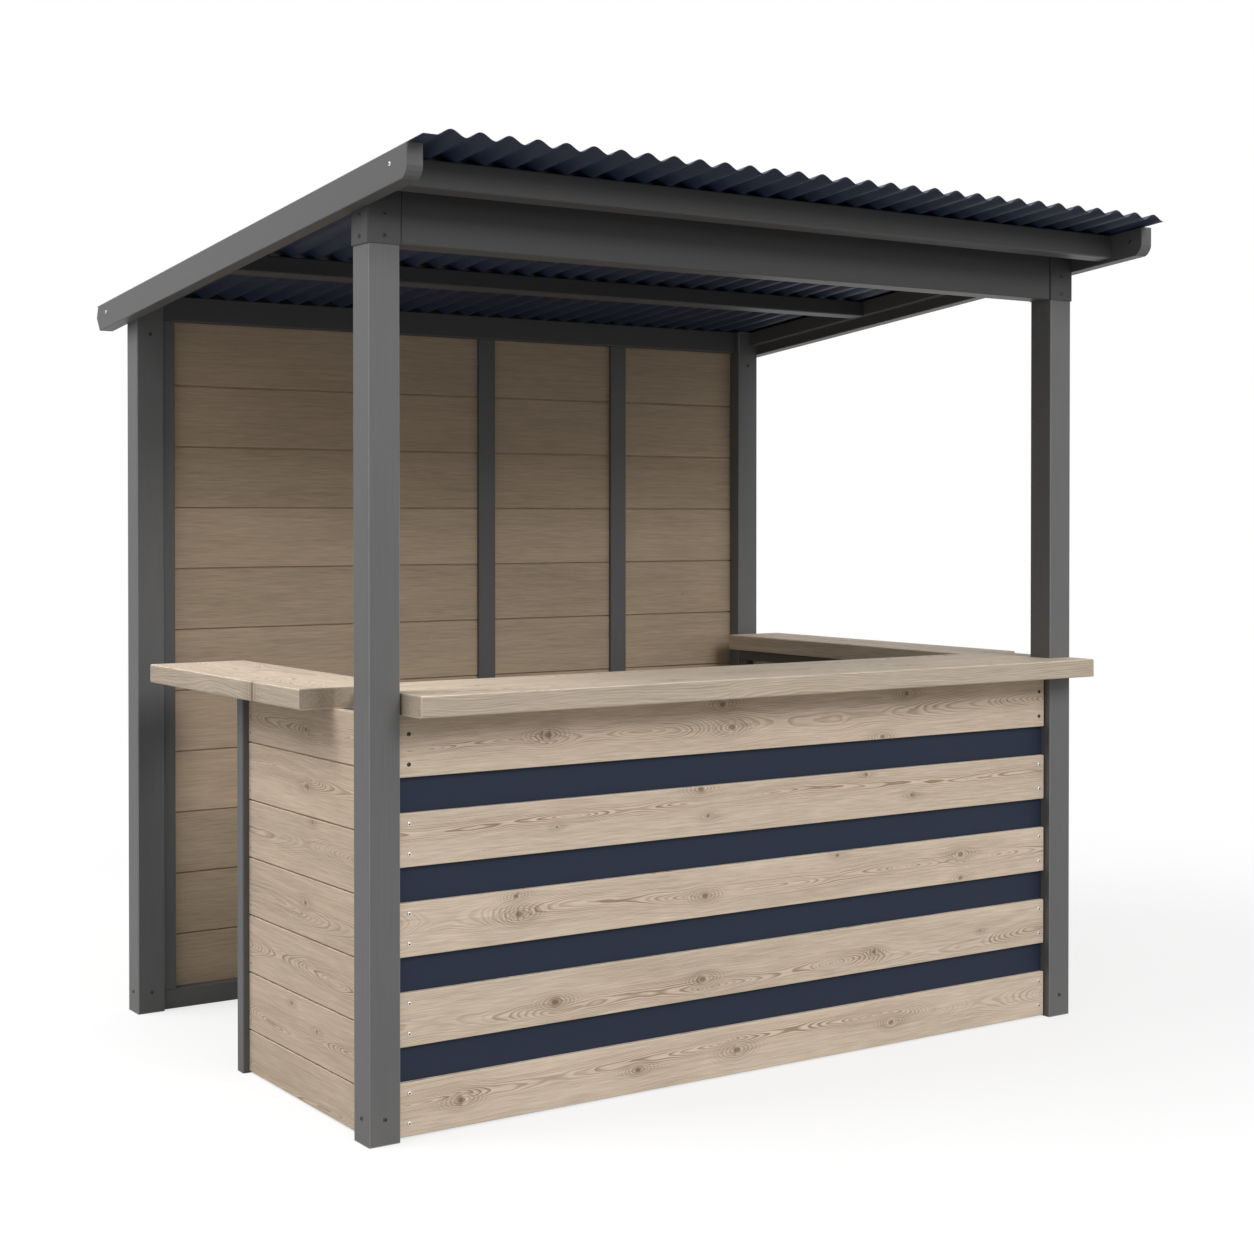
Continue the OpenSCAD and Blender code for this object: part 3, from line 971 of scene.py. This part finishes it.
@dataclass
class Fasteners:
    """Every fastener of the bar: each kind is one head, repeated where the walls and the frame ask for it.

    An outline gives the radius and the height of each ring of a head, as shares of the whole.
    """

    pan_radius: float = 0.0052
    pan_height: float = 0.0026
    pan_outline: Outline = ((1.0, 0.22), (0.88, 0.72), (0.60, 1.0))
    cross_reach: float = 0.0020
    cross_half: float = 0.00060
    cross_depth: float = 0.0013
    cross_taper: float = 0.8
    hex_radius: float = 0.0050
    hex_height: float = 0.0052
    hex_top: float = 0.84
    hex_ease: float = 0.0008
    washer_radius: float = 0.0095
    washer_height: float = 0.0022
    washer_outline: Outline = ((1.0, 0.4), (0.78, 1.0))
    washer_sink: float = 0.001
    nail_radius: float = 0.0021
    nail_height: float = 0.0007
    nail_outline: Outline = ((1.0, 0.5), (0.75, 1.0))
    sink: float = 0.0004
    round_sides: int = 12
    hex_sides: int = 6
    nail_sides: int = 8
    seed: int = 7
    places: dict[Fastener, list[tuple[Vector, Vector]]] = field(default_factory=dict)

    def put(self, kind: Fastener, place: Sequence[float], facing: Sequence[float]) -> None:
        """Notes one fastener: its kind, its place on a face and the way that the face looks."""
        self.places.setdefault(kind, []).append((Vector(place), Vector(facing).normalized()))

    @staticmethod
    def rings(radius: float, height: float, outline: Outline, sink: float) -> Outline:
        """Gives the true rings of a head that is set a little into its face."""
        return ((radius, -sink), *((wide * radius, high * height) for wide, high in outline))

    def pan_head(self) -> bpy.types.Mesh:
        """Makes a domed head with a cross recess.

        Returns:
            The mesh of the head.
        """
        shape = bmesh.new()
        hollow = shape.verts.layers.float.new(HOLLOW)
        top = self.pan_height
        rim = lathe(shape, self.rings(self.pan_radius, top, self.pan_outline, self.sink), self.round_sides)
        reach, half = self.cross_reach, self.cross_half
        corners = [Vector(corner) for corner in ((reach, -half), (reach, half), (half, half))]
        turns = [Matrix.Rotation(math.radians(90 * quarter), 2) for quarter in range(4)]
        cross = [turn @ corner for turn in turns for corner in corners]
        lip = [shape.verts.new((*c, top)) for c in cross]
        well = [shape.verts.new((*(self.cross_taper * c), top - self.cross_depth)) for c in cross]
        skin(shape, rim, lip)
        skin(shape, lip, well)
        shape.faces.new(well)
        for point in (*lip, *well):
            point[hollow] = 1.0
        return as_solid("pan_head", shape)

    def hex_head(self) -> bpy.types.Mesh:
        """Makes a six-sided head on a round washer.

        Returns:
            The mesh of the head.
        """
        shape = bmesh.new()
        seat, radius = self.washer_height, self.hex_radius
        top = seat + self.hex_height
        washer = self.rings(self.washer_radius, seat, self.washer_outline, self.washer_sink)
        head = ((radius, seat / 2), (radius, top - self.hex_ease), (self.hex_top * radius, top))
        for outline, sides in ((washer, self.round_sides), (head, self.hex_sides)):
            shape.faces.new(lathe(shape, outline, sides))
        return as_solid("hex_head", shape)

    def nail_head(self) -> bpy.types.Mesh:
        """Makes a small flat head with an eased rim.

        Returns:
            The mesh of the head.
        """
        shape = bmesh.new()
        rings = self.rings(self.nail_radius, self.nail_height, self.nail_outline, self.sink)
        shape.faces.new(lathe(shape, rings, self.nail_sides))
        return as_solid("nail_head", shape)

    @staticmethod
    def recipe() -> Recipe:
        """Builds the tree that stands a head on each point, facing as the point says and turned at random.

        Returns:
            The tree.
        """
        recipe = Recipe("fastener_heads", {"Head": "Object", "Seed": "Int", "Material": "Material"})
        tree, given = recipe.tree, recipe.given
        named = {"Name": FACING}
        facing = tree.out("GeometryNodeInputNamedAttribute", named, "Attribute", data_type="FLOAT_VECTOR")
        upright = tree.out("FunctionNodeAlignRotationToVector", {"Vector": facing}, axis="Z")
        limits = {2: 0.0, 3: 2 * math.pi, "Seed": given["Seed"]}
        angle = tree.out("FunctionNodeRandomValue", limits, 1, data_type="FLOAT")
        spin = tree.out("FunctionNodeEulerToRotation", {0: tree.joined(0.0, 0.0, angle)})
        turns = {"Rotation": upright, "Rotate By": spin}
        turned = tree.out("FunctionNodeRotateRotation", turns, rotation_space="LOCAL")
        head = tree.out("GeometryNodeObjectInfo", {"Object": given["Head"]}, "Geometry")
        heads = {"Points": given["Geometry"], "Instance": head, "Rotation": turned}
        recipe.close(tree.out("GeometryNodeInstanceOnPoints", heads))
        return recipe

    def build(self) -> None:
        """Makes one piece for each kind of fastener."""
        zinc, blacked = ZINC.material("zinc_plate"), BLACKED.material("blacked_steel")
        pan = self.pan_head()
        heads = {
            Fastener.PAN: (pan, zinc), Fastener.DARK: (pan, blacked),
            Fastener.HEX: (self.hex_head(), SHEET_NAVY.material("screw_navy", Run.ALONG_Z)),
            Fastener.NAIL: (self.nail_head(), blacked),
        }
        recipe = self.recipe()
        for kind, spots in self.places.items():
            mesh, material = heads[kind]
            points = bpy.data.meshes.new(f"{kind.value}_points")
            points.from_pydata([place for place, _ in spots], [], [])
            facing = points.attributes.new(FACING, "FLOAT_VECTOR", "POINT")
            facing.data.foreach_set("vector", [n for _, way in spots for n in way])
            head = add_object(f"{kind.value}_head", mesh)
            piece = recipe.run(kind.value, points, {"Head": head, "Seed": self.seed, "Material": material})
            bpy.data.objects.remove(head)
            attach(piece, BODY)
            log.info("%s: %d heads", kind.value, len(spots))


class Side(Enum):
    """The two sides of the bar, as the way that their outer faces look along x."""

    LEFT = -1
    RIGHT = 1

    def faces(self, box: Box) -> tuple[float, float]:
        """Gives where a box has its outer and its inner face."""
        low, high = box
        return (low.x, high.x) if self is Side.LEFT else (high.x, low.x)


@dataclass
class MetalFrame:
    """Posts, sleeves, headers, rafters, ledgers and purlins."""

    posts: tuple[str, ...] = ("post_front_left", "post_front_right", "post_rear_left", "post_rear_right")
    uprights: tuple[str, ...] = (
        "rear_stud_left", "rear_batten_left", "rear_batten_right",
        "front_stud", "left_end_post", "right_stud",
    )
    across: tuple[str, ...] = ("rear_bottom_rail", "front_top_rail", "front_bottom_rail")
    back: tuple[str, ...] = (
        "left_rafter", "right_rafter", "left_ledger", "right_ledger",
        "left_top_rail", "left_bottom_rail", "right_top_rail", "right_bottom_rail",
    )
    overhead: tuple[str, ...] = ("front_header", "rear_header", "front_purlin", "mid_purlin")
    sleeves: tuple[str, ...] = ("sleeve_front_left", "sleeve_front_right")
    foot_screw_z: float = 0.060
    head_screw_z: float = 1.960
    sleeve_screw_z: tuple[float, float] = (2.073, 2.120)
    rafter_screw_drop: float = 0.030
    rafter_screw_in: float = 0.080

    def dress(self) -> None:
        """Coats every member, with the streaks along it."""
        for name in self.posts:
            # The posts' edges get pale wear and painted highlight
            dress(name, GRAPHITE.material(f"graphite_{name}", Run.ALONG_Z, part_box(name)))
        log.info("coated %d posts", len(self.posts))
        # Every member but the posts takes a darker copy of the graphite, as painted shade
        groups = (
            (HALF_SHADE_GRAPHITE, "graphite", Run.ALONG_Z, self.uprights),
            (HALF_SHADE_GRAPHITE, "graphite", Run.ALONG_X, self.across),
            (HALF_SHADE_GRAPHITE, "graphite", Run.ALONG_Y, self.back),
            (DEEP_SHADE_GRAPHITE, "deep_shade_graphite", Run.ALONG_X, self.overhead),
            (DEEP_SHADE_GRAPHITE, "deep_shade_graphite", Run.ALONG_Z, self.sleeves),
        )
        for coat, word, run, names in groups:
            material = coat.material(f"{word}_{run.name.lower()}", run)
            for name in names:
                dress(name, material)
            log.info("coated %d members %s in %s", len(names), run.name.lower(), word)

    def fasten(self, fasteners: Fasteners) -> None:
        """Puts screws on the posts, the sleeves and the rafters.

        Args:
            fasteners: Takes the screws.
        """
        for side in Side:
            word = side.name.lower()
            front, rear = (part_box(f"post_{end}_{word}") for end in ("front", "rear"))
            for post in (front, rear):
                self.fasten_corner(fasteners, side, post, self.foot_screw_z)
            fasteners.put(Fastener.DARK, (middle_of(rear).x, rear[0].y, self.head_screw_z), FORWARD)
            for height in self.sleeve_screw_z:
                self.fasten_corner(fasteners, side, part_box(f"sleeve_front_{word}"), height)
            self.fasten_rafter(fasteners, side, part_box(f"{word}_rafter"))

    @staticmethod
    def fasten_corner(fasteners: Fasteners, side: Side, box: Box, height: float) -> None:
        """Puts a screw on the front and one on the outer face of a post or sleeve.

        Args:
            fasteners: Takes the screws.
            side: The side that the piece stands on.
            box: The piece's low and high corner.
            height: The height of both screws.
        """
        middle = middle_of(box)
        outer, _ = side.faces(box)
        fasteners.put(Fastener.DARK, (middle.x, box[0].y, height), FORWARD)
        fasteners.put(Fastener.DARK, (outer, middle.y, height), (side.value, 0, 0))

    def fasten_rafter(self, fasteners: Fasteners, side: Side, box: Box) -> None:
        """Puts a screw near each end of a rafter, under its top edge, and one inside its nose.

        Args:
            fasteners: Takes the screws.
            side: The side that the rafter lies on.
            box: The rafter's low and high corner.
        """
        low, high = box
        outer, inner = side.faces(box)
        for y in (low.y + self.rafter_screw_in, high.y - self.rafter_screw_in):
            z = high.z - self.rafter_screw_drop - (y - low.y) * math.tan(ROOF_FALL)
            fasteners.put(Fastener.PAN, (outer, y, z), (side.value, 0, 0))
            if y < 0:
                fasteners.put(Fastener.DARK, (inner, y - self.rafter_screw_in / 2, z), (-side.value, 0, 0))


@dataclass
class RoofSheet:
    """The corrugated sheet, made by rule from its waves and laid where the model has it."""

    node: str = "roof_sheet"
    waves: int = 31
    lip: float = 0.032
    wave_depth: float = 0.016
    thickness: float = 0.0012
    # Grid points to a wave and along the sheet, and the least angle of an edge that stays sharp
    steps: int = 24
    rows: int = 7
    crease: float = math.radians(50)
    weld: float = 0.00002
    screw_every: int = 3
    carriers: tuple[str, ...] = ("front_purlin", "front_header", "mid_purlin", "rear_header")
    filler_half: float = 1.118
    filler_depth: float = 0.028
    filler_sink: float = 0.0005
    filler_steps: int = 12
    # Turn a place into the roof's own level axes, and back
    level: Matrix = field(default_factory=lambda: Matrix.Rotation(ROOF_FALL, 3, "X"))
    tilt: Matrix = field(default_factory=lambda: Matrix.Rotation(-ROOF_FALL, 3, "X"))

    def recipe(self) -> Recipe:
        """Builds the tree that bends a grid into waves and gives it a thickness.

        Returns:
            The tree.
        """
        sizes = ("Width", "Length", "Lip", "Depth", "Thickness", "Fall")
        kinds = {"Waves": "Int", "Place": "Vector", "Material": "Material"}
        recipe = Recipe("corrugated_sheet", {**dict.fromkeys(sizes, "Float"), **kinds})
        tree, given = recipe.tree, recipe.given
        grid = tree.out("GeometryNodeMeshGrid", {
            "Size X": given["Width"], "Size Y": given["Length"],
            "Vertices X": given["Waves"] * self.steps + 1.0, "Vertices Y": self.rows,
        })
        x = tree.parts(tree.out("GeometryNodeInputPosition"))["X"]
        inside = x + given["Width"] * 0.5 - given["Lip"]
        share = tree.math("MAXIMUM", inside, 0.0) / (given["Width"] - given["Lip"])
        turn = share * given["Waves"] * (2 * math.pi)
        lift = tree.math("SUBTRACT", 1.0, tree.math("COSINE", turn)) * 0.5
        rise = tree.joined(0.0, 0.0, lift * given["Depth"])
        under = tree.out("GeometryNodeSetPosition", {"Geometry": grid, "Offset": rise})
        thick = {"Mesh": under, "Offset Scale": given["Thickness"], "Individual": False}
        upper = tree.out("GeometryNodeExtrudeMesh", thick, mode="FACES")
        shell = tree.add("GeometryNodeJoinGeometry")
        for part in (upper, tree.out("GeometryNodeFlipFaces", {"Mesh": under})):
            tree.feed(shell.inputs[0], part)
        loose = {"Geometry": Value(tree, shell.outputs[0]), "Distance": self.weld}
        closed = tree.out("GeometryNodeMergeByDistance", loose)
        smooth = tree.out("GeometryNodeSetShadeSmooth", {"Geometry": closed, "Shade Smooth": True})
        sharp = tree.math("GREATER_THAN", tree.out("GeometryNodeInputMeshEdgeAngle"), self.crease)
        edges = {"Geometry": smooth, "Selection": sharp, "Shade Smooth": False}
        creased = tree.out("GeometryNodeSetShadeSmooth", edges, domain="EDGE")
        fall = tree.joined(given["Fall"], 0.0)
        laid = {"Geometry": creased, "Translation": given["Place"], "Rotation": fall}
        recipe.close(tree.out("GeometryNodeTransform", laid))
        return recipe

    def laid(self) -> Box:
        """Gives the low and high corner of the model's sheet, measured square to the roof.

        Returns:
            The two corners.
        """
        points = [self.level @ vertex.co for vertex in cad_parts[self.node].data.vertices]
        low, high = (Vector([axis(p[k] for p in points) for k in range(3)]) for axis in (min, max))
        return low, high

    def wave_run(self) -> tuple[float, float]:
        """Gives where the first wave begins, from the left, and how far apart the waves are.

        Returns:
            The two lengths along x.
        """
        low, high = self.laid()
        first = low.x + self.lip
        return first, (high.x - first) / self.waves

    def build(self) -> None:
        """Makes the sheet in place of the plain one."""
        low, high = self.laid()
        centre = self.tilt @ Vector(((low.x + high.x) / 2, (low.y + high.y) / 2, low.z))
        sheet = self.recipe().run(self.node + "_waves", bpy.data.meshes.new("sheet_start"), {
            "Width": high.x - low.x, "Length": high.y - low.y, "Lip": self.lip, "Waves": self.waves,
            "Depth": self.wave_depth, "Thickness": self.thickness, "Fall": -ROOF_FALL, "Place": centre,
            "Material": SHEET_NAVY.material("sheet_navy", Run.ALONG_Y),
        })
        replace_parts(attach(sheet, BODY), self.node)
        log.info("corrugated sheet: %d faces", len(sheet.data.polygons))

    def build_filler(self) -> None:
        """Makes a dark strip that closes the waves above the back header."""
        valley = self.laid()[0].z
        first, pitch = self.wave_run()
        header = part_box(self.carriers[-1])
        middle = (self.level @ Vector((0.0, middle_of(header).y, header[1].z))).y
        near, far = middle - self.filler_depth / 2, middle + self.filler_depth / 2
        shape = bmesh.new()
        rings = []
        count = round(2 * self.filler_half / pitch * self.filler_steps)
        for k in range(count + 1):
            x = self.filler_half * (2 * k / count - 1)
            lift = self.wave_depth * (1 - math.cos(2 * math.pi * max(x - first, 0.0) / pitch)) / 2
            foot, top = valley - self.filler_sink, valley + lift
            section = ((near, foot), (far, foot), (far, top), (near, top))
            rings.append([shape.verts.new(self.tilt @ Vector((x, y, z))) for y, z in section])
        for ring, after in zip(rings, rings[1:]):
            skin(shape, ring, after)
        shape.faces.new(rings[0])
        shape.faces.new(rings[-1])
        piece = add_object("eaves_filler", as_solid("eaves_filler", shape))
        piece.data.materials.append(DARK_FILL.material("dark_fill", Run.ALONG_X))
        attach(piece, BODY)
        log.info("eaves filler: %d faces", len(piece.data.polygons))

    def fasten(self, fasteners: Fasteners) -> None:
        """Puts roofing screws on the crests above each member that carries the sheet.

        Args:
            fasteners: Takes the screws.
        """
        crest_z = self.laid()[1].z
        first, pitch = self.wave_run()
        for name in self.carriers:
            along = (self.level @ middle_of(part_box(name))).y
            for crest in range(0, self.waves, self.screw_every):
                spot = Vector((first + (crest + 0.5) * pitch, along, crest_z))
                fasteners.put(Fastener.HEX, self.tilt @ spot, self.tilt @ Vector(UPWARD))


@dataclass
class FrontWall:
    """The navy panel and the five slats in front of it."""

    panel: str = "front_panel"
    slats: tuple[str, ...] = tuple(f"front_slat_{k}" for k in range(1, 6))
    # How far a row of the timber's pattern reaches below its slat
    row_margin: float = 0.01
    seed: float = 3.0
    screw_in: tuple[float, float] = (0.027, 0.019)
    screw_heights: tuple[float, float] = (0.030, 0.100)
    knots: tuple[Knot, ...] = (
        Knot(-0.632, 0.909, 0.010), Knot(-0.080, 0.896, 0.010), Knot(-0.109, 0.957, 0.009),
        Knot(-0.156, 0.675, 0.006), Knot(-0.178, 0.745, 0.009), Knot(-0.607, 0.685, 0.004),
        Knot(-0.165, 0.472, 0.009), Knot(-0.714, 0.486, 0.010), Knot(-0.722, 0.530, 0.007),
        Knot(-0.171, 0.261, 0.009), Knot(-0.613, 0.262, 0.009),
        Knot(-0.370, 0.060, 0.008), Knot(-0.063, 0.065, 0.010), Knot(-0.869, 0.066, 0.009),
        Knot(0.514, 0.953, 0.008), Knot(0.427, 0.841, 0.008),
        Knot(0.372, 0.742, 0.005), Knot(0.532, 0.675, 0.006),
        Knot(0.270, 0.535, 0.006), Knot(0.713, 0.496, 0.009), Knot(0.713, 0.430, 0.007),
        Knot(0.396, 0.262, 0.007), Knot(0.790, 0.274, 0.004), Knot(0.459, 0.063, 0.008),
    )

    def dress(self) -> None:
        """Paints the panel and gives the slats their timber."""
        dress(self.panel, PANEL_NAVY.material("panel_navy", Run.ALONG_X))
        low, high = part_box(self.slats[0])
        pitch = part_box(self.slats[1])[0].z - low.z
        rows = Rows.within(
            (low, high), Lay.WALL_X, first=low.z - self.row_margin, pitch=pitch,
            middle=(high.z - low.z) / 2 + self.row_margin, seed=self.seed,
        )
        for name in self.slats:
            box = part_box(name)
            knots = [knot for knot in self.knots if box[0].z < knot.across < box[1].z]
            dress(name, PINE.material(f"pine_{name}", rows, knots, box))
        log.info("dressed the panel and %d slats", len(self.slats))

    def fasten(self, fasteners: Fasteners) -> None:
        """Puts two screws at each end of every slat; those of the top slat are dark.

        Args:
            fasteners: Takes the screws.
        """
        for name in self.slats:
            low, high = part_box(name)
            kind = Fastener.DARK if name == self.slats[-1] else Fastener.PAN
            for x in (low.x + self.screw_in[0], high.x - self.screw_in[1]):
                for height in self.screw_heights:
                    fasteners.put(kind, (x, low.y, low.z + height), FORWARD)


@dataclass(frozen=True)
class Wall:
    """The boards of one wall: their node, timber, lay, first joint, joint spacing, seed, lean and knots."""

    node: str
    timber: Timber
    lay: Lay
    first: float
    pitch: float
    seed: float
    lean: float = 0.0
    knots: tuple[Knot, ...] = ()
    # The share of a full board from which the top row counts as one
    top_share: float = 0.2

    def dress(self) -> None:
        """Gives the boards their timber, with the grain along them."""
        row = {"first": self.first, "pitch": self.pitch, "middle": self.pitch / 2}
        rows = Rows.within(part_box(self.node), self.lay, **row, seed=self.seed, lean=self.lean)
        dress(self.node, self.timber.material(f"pine_{self.node}", rows, self.knots))

    def edges(self) -> list[float]:
        """Finds the lower edges of the boards.

        Returns:
            Their heights, from the ground up.
        """
        low, high = (corner.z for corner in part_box(self.node))
        count = math.floor((high - self.first) / self.pitch - self.top_share) + 1
        return [low, *(self.first + k * self.pitch for k in range(count))]


@dataclass
class BoardWalls:
    """The tongued boards of both sides and of the back."""

    nail_in: float = 0.011
    nail_up: float = 0.027
    columns: tuple[str, ...] = ("rear_stud_left", "rear_batten_left", "rear_batten_right")
    left: Wall = Wall("left_boards", BOARD_PINE, Lay.WALL_Y, first=0.111, pitch=0.1484, seed=21.0, knots=(
        Knot(-0.301, 0.917, 0.008), Knot(-0.299, 0.778, 0.007), Knot(-0.337, 0.696, 0.005),
        Knot(-0.297, 0.494, 0.007), Knot(-0.215, 0.233, 0.005), Knot(-0.360, 0.192, 0.005),
    ))
    right: Wall = Wall("right_boards", BOARD_PINE, Lay.WALL_Y, first=0.111, pitch=0.1484, seed=55.0, knots=(
        Knot(-0.120, 0.640, 0.008), Knot(0.350, 0.790, 0.006),
        Knot(0.520, 0.330, 0.007), Knot(-0.400, 0.190, 0.006),
    ))
    rear: Wall = Wall("rear_boards", SHADED_PINE, Lay.WALL_X, first=0.207, pitch=0.179, seed=90.0, lean=0.16)

    def dress(self) -> None:
        """Dresses the three walls."""
        for wall in (self.left, self.right, self.rear):
            wall.dress()
            log.info("dressed %s", wall.node)

    def fasten(self, fasteners: Fasteners) -> None:
        """Nails the side boards at their ends and the back boards to the uprights behind them.

        Args:
            fasteners: Takes the nails.
        """
        for side, wall in ((Side.LEFT, self.left), (Side.RIGHT, self.right)):
            low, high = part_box(wall.node)
            outer, _ = side.faces((low, high))
            for z in wall.edges():
                for y in (low.y + self.nail_in, high.y - self.nail_in):
                    fasteners.put(Fastener.NAIL, (outer, y, z + self.nail_up), (side.value, 0, 0))
        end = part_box(self.rear.node)[1]
        columns = [middle_of(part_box(name)).x for name in self.columns]
        for z in self.rear.edges():
            for x in (*columns, end.x - 2 * self.nail_in):
                fasteners.put(Fastener.NAIL, (x, end.y, z + self.nail_up), BACKWARD)


@dataclass(frozen=True)
class Counter:
    """One timber counter, glued from staves: its node, lay, seed and knots."""

    node: str
    lay: Lay
    seed: float
    knots: tuple[Knot, ...] = ()
    staves: int = 3
    heart: float = -0.06

    def dress(self) -> None:
        """Gives the counter its timber, with the grain along it, its edges paled by wear and painted
        highlight and its sides darkened by painted shade.
        """
        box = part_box(self.node)
        low, high = (corner["XYZ".index(self.lay.value[1])] for corner in box)
        stave = (high - low) / self.staves
        row = {"first": low, "pitch": stave, "middle": stave / 2}
        rows = Rows.within(box, self.lay, **row, seed=self.seed, heart=self.heart)
        dress(self.node, COUNTER_PINE.material(f"pine_{self.node}", rows, self.knots, box))


@dataclass
class Counters:
    """The three counters."""

    tops: tuple[Counter, ...] = (
        Counter("front_counter", Lay.TOP_X, 131.0, (
            Knot(-0.30, -0.72, 0.008), Knot(0.52, -0.67, 0.010),
            Knot(0.05, -0.56, 0.007), Knot(-0.78, -0.59, 0.009),
        )),
        Counter("left_counter", Lay.TOP_Y, 142.0, (
            Knot(-0.178, -1.181, 0.007), Knot(0.160, -1.020, 0.008),
        )),
        Counter("right_counter", Lay.TOP_Y, 157.0),
    )

    def dress(self) -> None:
        """Dresses the counters."""
        for top in self.tops:
            top.dress()
            log.info("dressed %s", top.node)


@dataclass(frozen=True)
class Lamp:
    """A square soft lamp: its name, its place, its power in watts and its side."""

    name: str
    place: tuple[float, float, float]
    power: float
    size: float = 4.0

    def hang(self, aim: Vector) -> None:
        """Puts the lamp into the scene.

        Args:
            aim: The point that it looks at.
        """
        data = bpy.data.lights.new(self.name, "AREA")
        data.energy = self.power
        data.size = self.size
        lamp = add_object(self.name, data)
        lamp.location = self.place
        lamp.rotation_euler = (aim - Vector(self.place)).to_track_quat("-Z", "Y").to_euler()


@dataclass
class Studio:
    """The camera, the lamps and a pale floor."""

    eye: tuple[float, float, float] = (-3.16105, -4.79281, 1.43319)
    turn: float = math.radians(33.789)
    tip: float = math.radians(0.6137)
    lens: float = 57.673
    sensor: float = 36.0
    shift: float = -0.07025
    sight: float = 200.0
    sky: float = 0.55
    floor_half: float = 40.0
    floor_squares: int = 8
    # The floor as it lights the bar, and as it shows: its grey, its glow and where its shadow ends
    floor_light: Colour = (0.20, 0.20, 0.20, 1.0)
    floor_grey: Colour = (0.34, 0.34, 0.34, 1.0)
    floor_glow: float = 0.67
    floor_fade: tuple[float, float] = (2.6, 4.6)
    aim: tuple[float, float, float] = (0.0, 0.0, 1.0)
    lamps: tuple[Lamp, ...] = (
        Lamp("left_lamp", (-7.2, 0.4, 8.4), 310.0), Lamp("high_lamp", (-4.6, 2.0, 8.6), 285.0),
        Lamp("front_lamp", (1.0, -8.9, 6.2), 415.0),
    )

    def camera(self) -> None:
        """Stands the camera where the photograph was taken from."""
        data = bpy.data.cameras.new("camera")
        data.sensor_width = self.sensor
        data.lens = self.lens
        data.shift_y = self.shift
        data.clip_end = self.sight
        camera = add_object("camera", data)
        camera.location = self.eye
        camera.rotation_euler = (math.pi / 2 - self.tip, 0.0, -self.turn)
        bpy.context.scene.camera = camera

    @staticmethod
    def shown(tree: Tree, hidden: Value, seen: Value) -> Value:
        """Shows one shader to the camera, in reflections and in glass, and lights with another.

        Args:
            tree: The tree of the material or world.
            hidden: The shader that lights.
            seen: The shader that shows.

        Returns:
            Both shaders as one.
        """
        path = tree.add("ShaderNodeLightPath").outputs
        rays = ("Is Camera Ray", "Is Glossy Ray", "Is Transmission Ray")
        camera, glossy, clear = (Value(tree, path[ray]) for ray in rays)
        shows = tree.math("MAXIMUM", camera, tree.math("MAXIMUM", glossy, clear))
        return tree.out("ShaderNodeMixShader", {0: shows, 1: hidden, 2: seen})

    def world(self) -> None:
        """Lights the scene evenly and shows white behind it."""
        world = bpy.data.worlds.new("studio")
        tree = Tree.cleared(world)
        even = tree.out("ShaderNodeBackground", {"Color": WHITE, "Strength": self.sky})
        white = tree.out("ShaderNodeBackground", {"Color": WHITE, "Strength": 1.0})
        tree.add("ShaderNodeOutputWorld", {"Surface": self.shown(tree, even, white)})
        bpy.context.scene.world = world

    def floor(self) -> None:
        """Lays a white floor that keeps the shadow of the bar."""
        shape = bmesh.new()
        squares = self.floor_squares
        bmesh.ops.create_grid(shape, x_segments=squares, y_segments=squares, size=self.floor_half)
        mesh = as_mesh("floor", shape)
        material = bpy.data.materials.new("floor_white")
        tree = Tree.cleared(material)
        light = tree.out("ShaderNodeBsdfDiffuse", {"Color": self.floor_light})
        grey = tree.out("ShaderNodeBsdfDiffuse", {"Color": self.floor_grey})
        glow = tree.out("ShaderNodeEmission", {"Color": WHITE, "Strength": self.floor_glow})
        clear = tree.out("ShaderNodeEmission", {"Color": WHITE, "Strength": 1.0})
        near = tree.out("ShaderNodeAddShader", {0: grey, 1: glow})
        away = tree.fade(tree.length(tree.out("ShaderNodeTexCoord", None, "Object")), *self.floor_fade)
        white = tree.out("ShaderNodeMixShader", {0: away, 1: near, 2: clear})
        tree.add("ShaderNodeOutputMaterial", {"Surface": self.shown(tree, light, white)})
        mesh.materials.append(material)
        add_object("floor", mesh)

    def build(self) -> None:
        """Sets up the whole studio."""
        bpy.context.scene.view_settings.view_transform = "Standard"
        self.camera()
        self.world()
        self.floor()
        for lamp in self.lamps:
            lamp.hang(Vector(self.aim))
        log.info("studio ready")


def main() -> None:
    """Builds and dresses the sub-assemblies in order."""
    logging.basicConfig(level=logging.INFO, format="%(name)s: %(message)s")
    fasteners = Fasteners()
    metal, roof, front, boards, counters = MetalFrame(), RoofSheet(), FrontWall(), BoardWalls(), Counters()
    for assembly in (metal, front, boards, counters):
        assembly.dress()
    roof.build()
    roof.build_filler()
    for assembly in (metal, roof, front, boards):
        assembly.fasten(fasteners)
    fasteners.build()
    Studio().build()


if __name__ == "__main__":
    main()
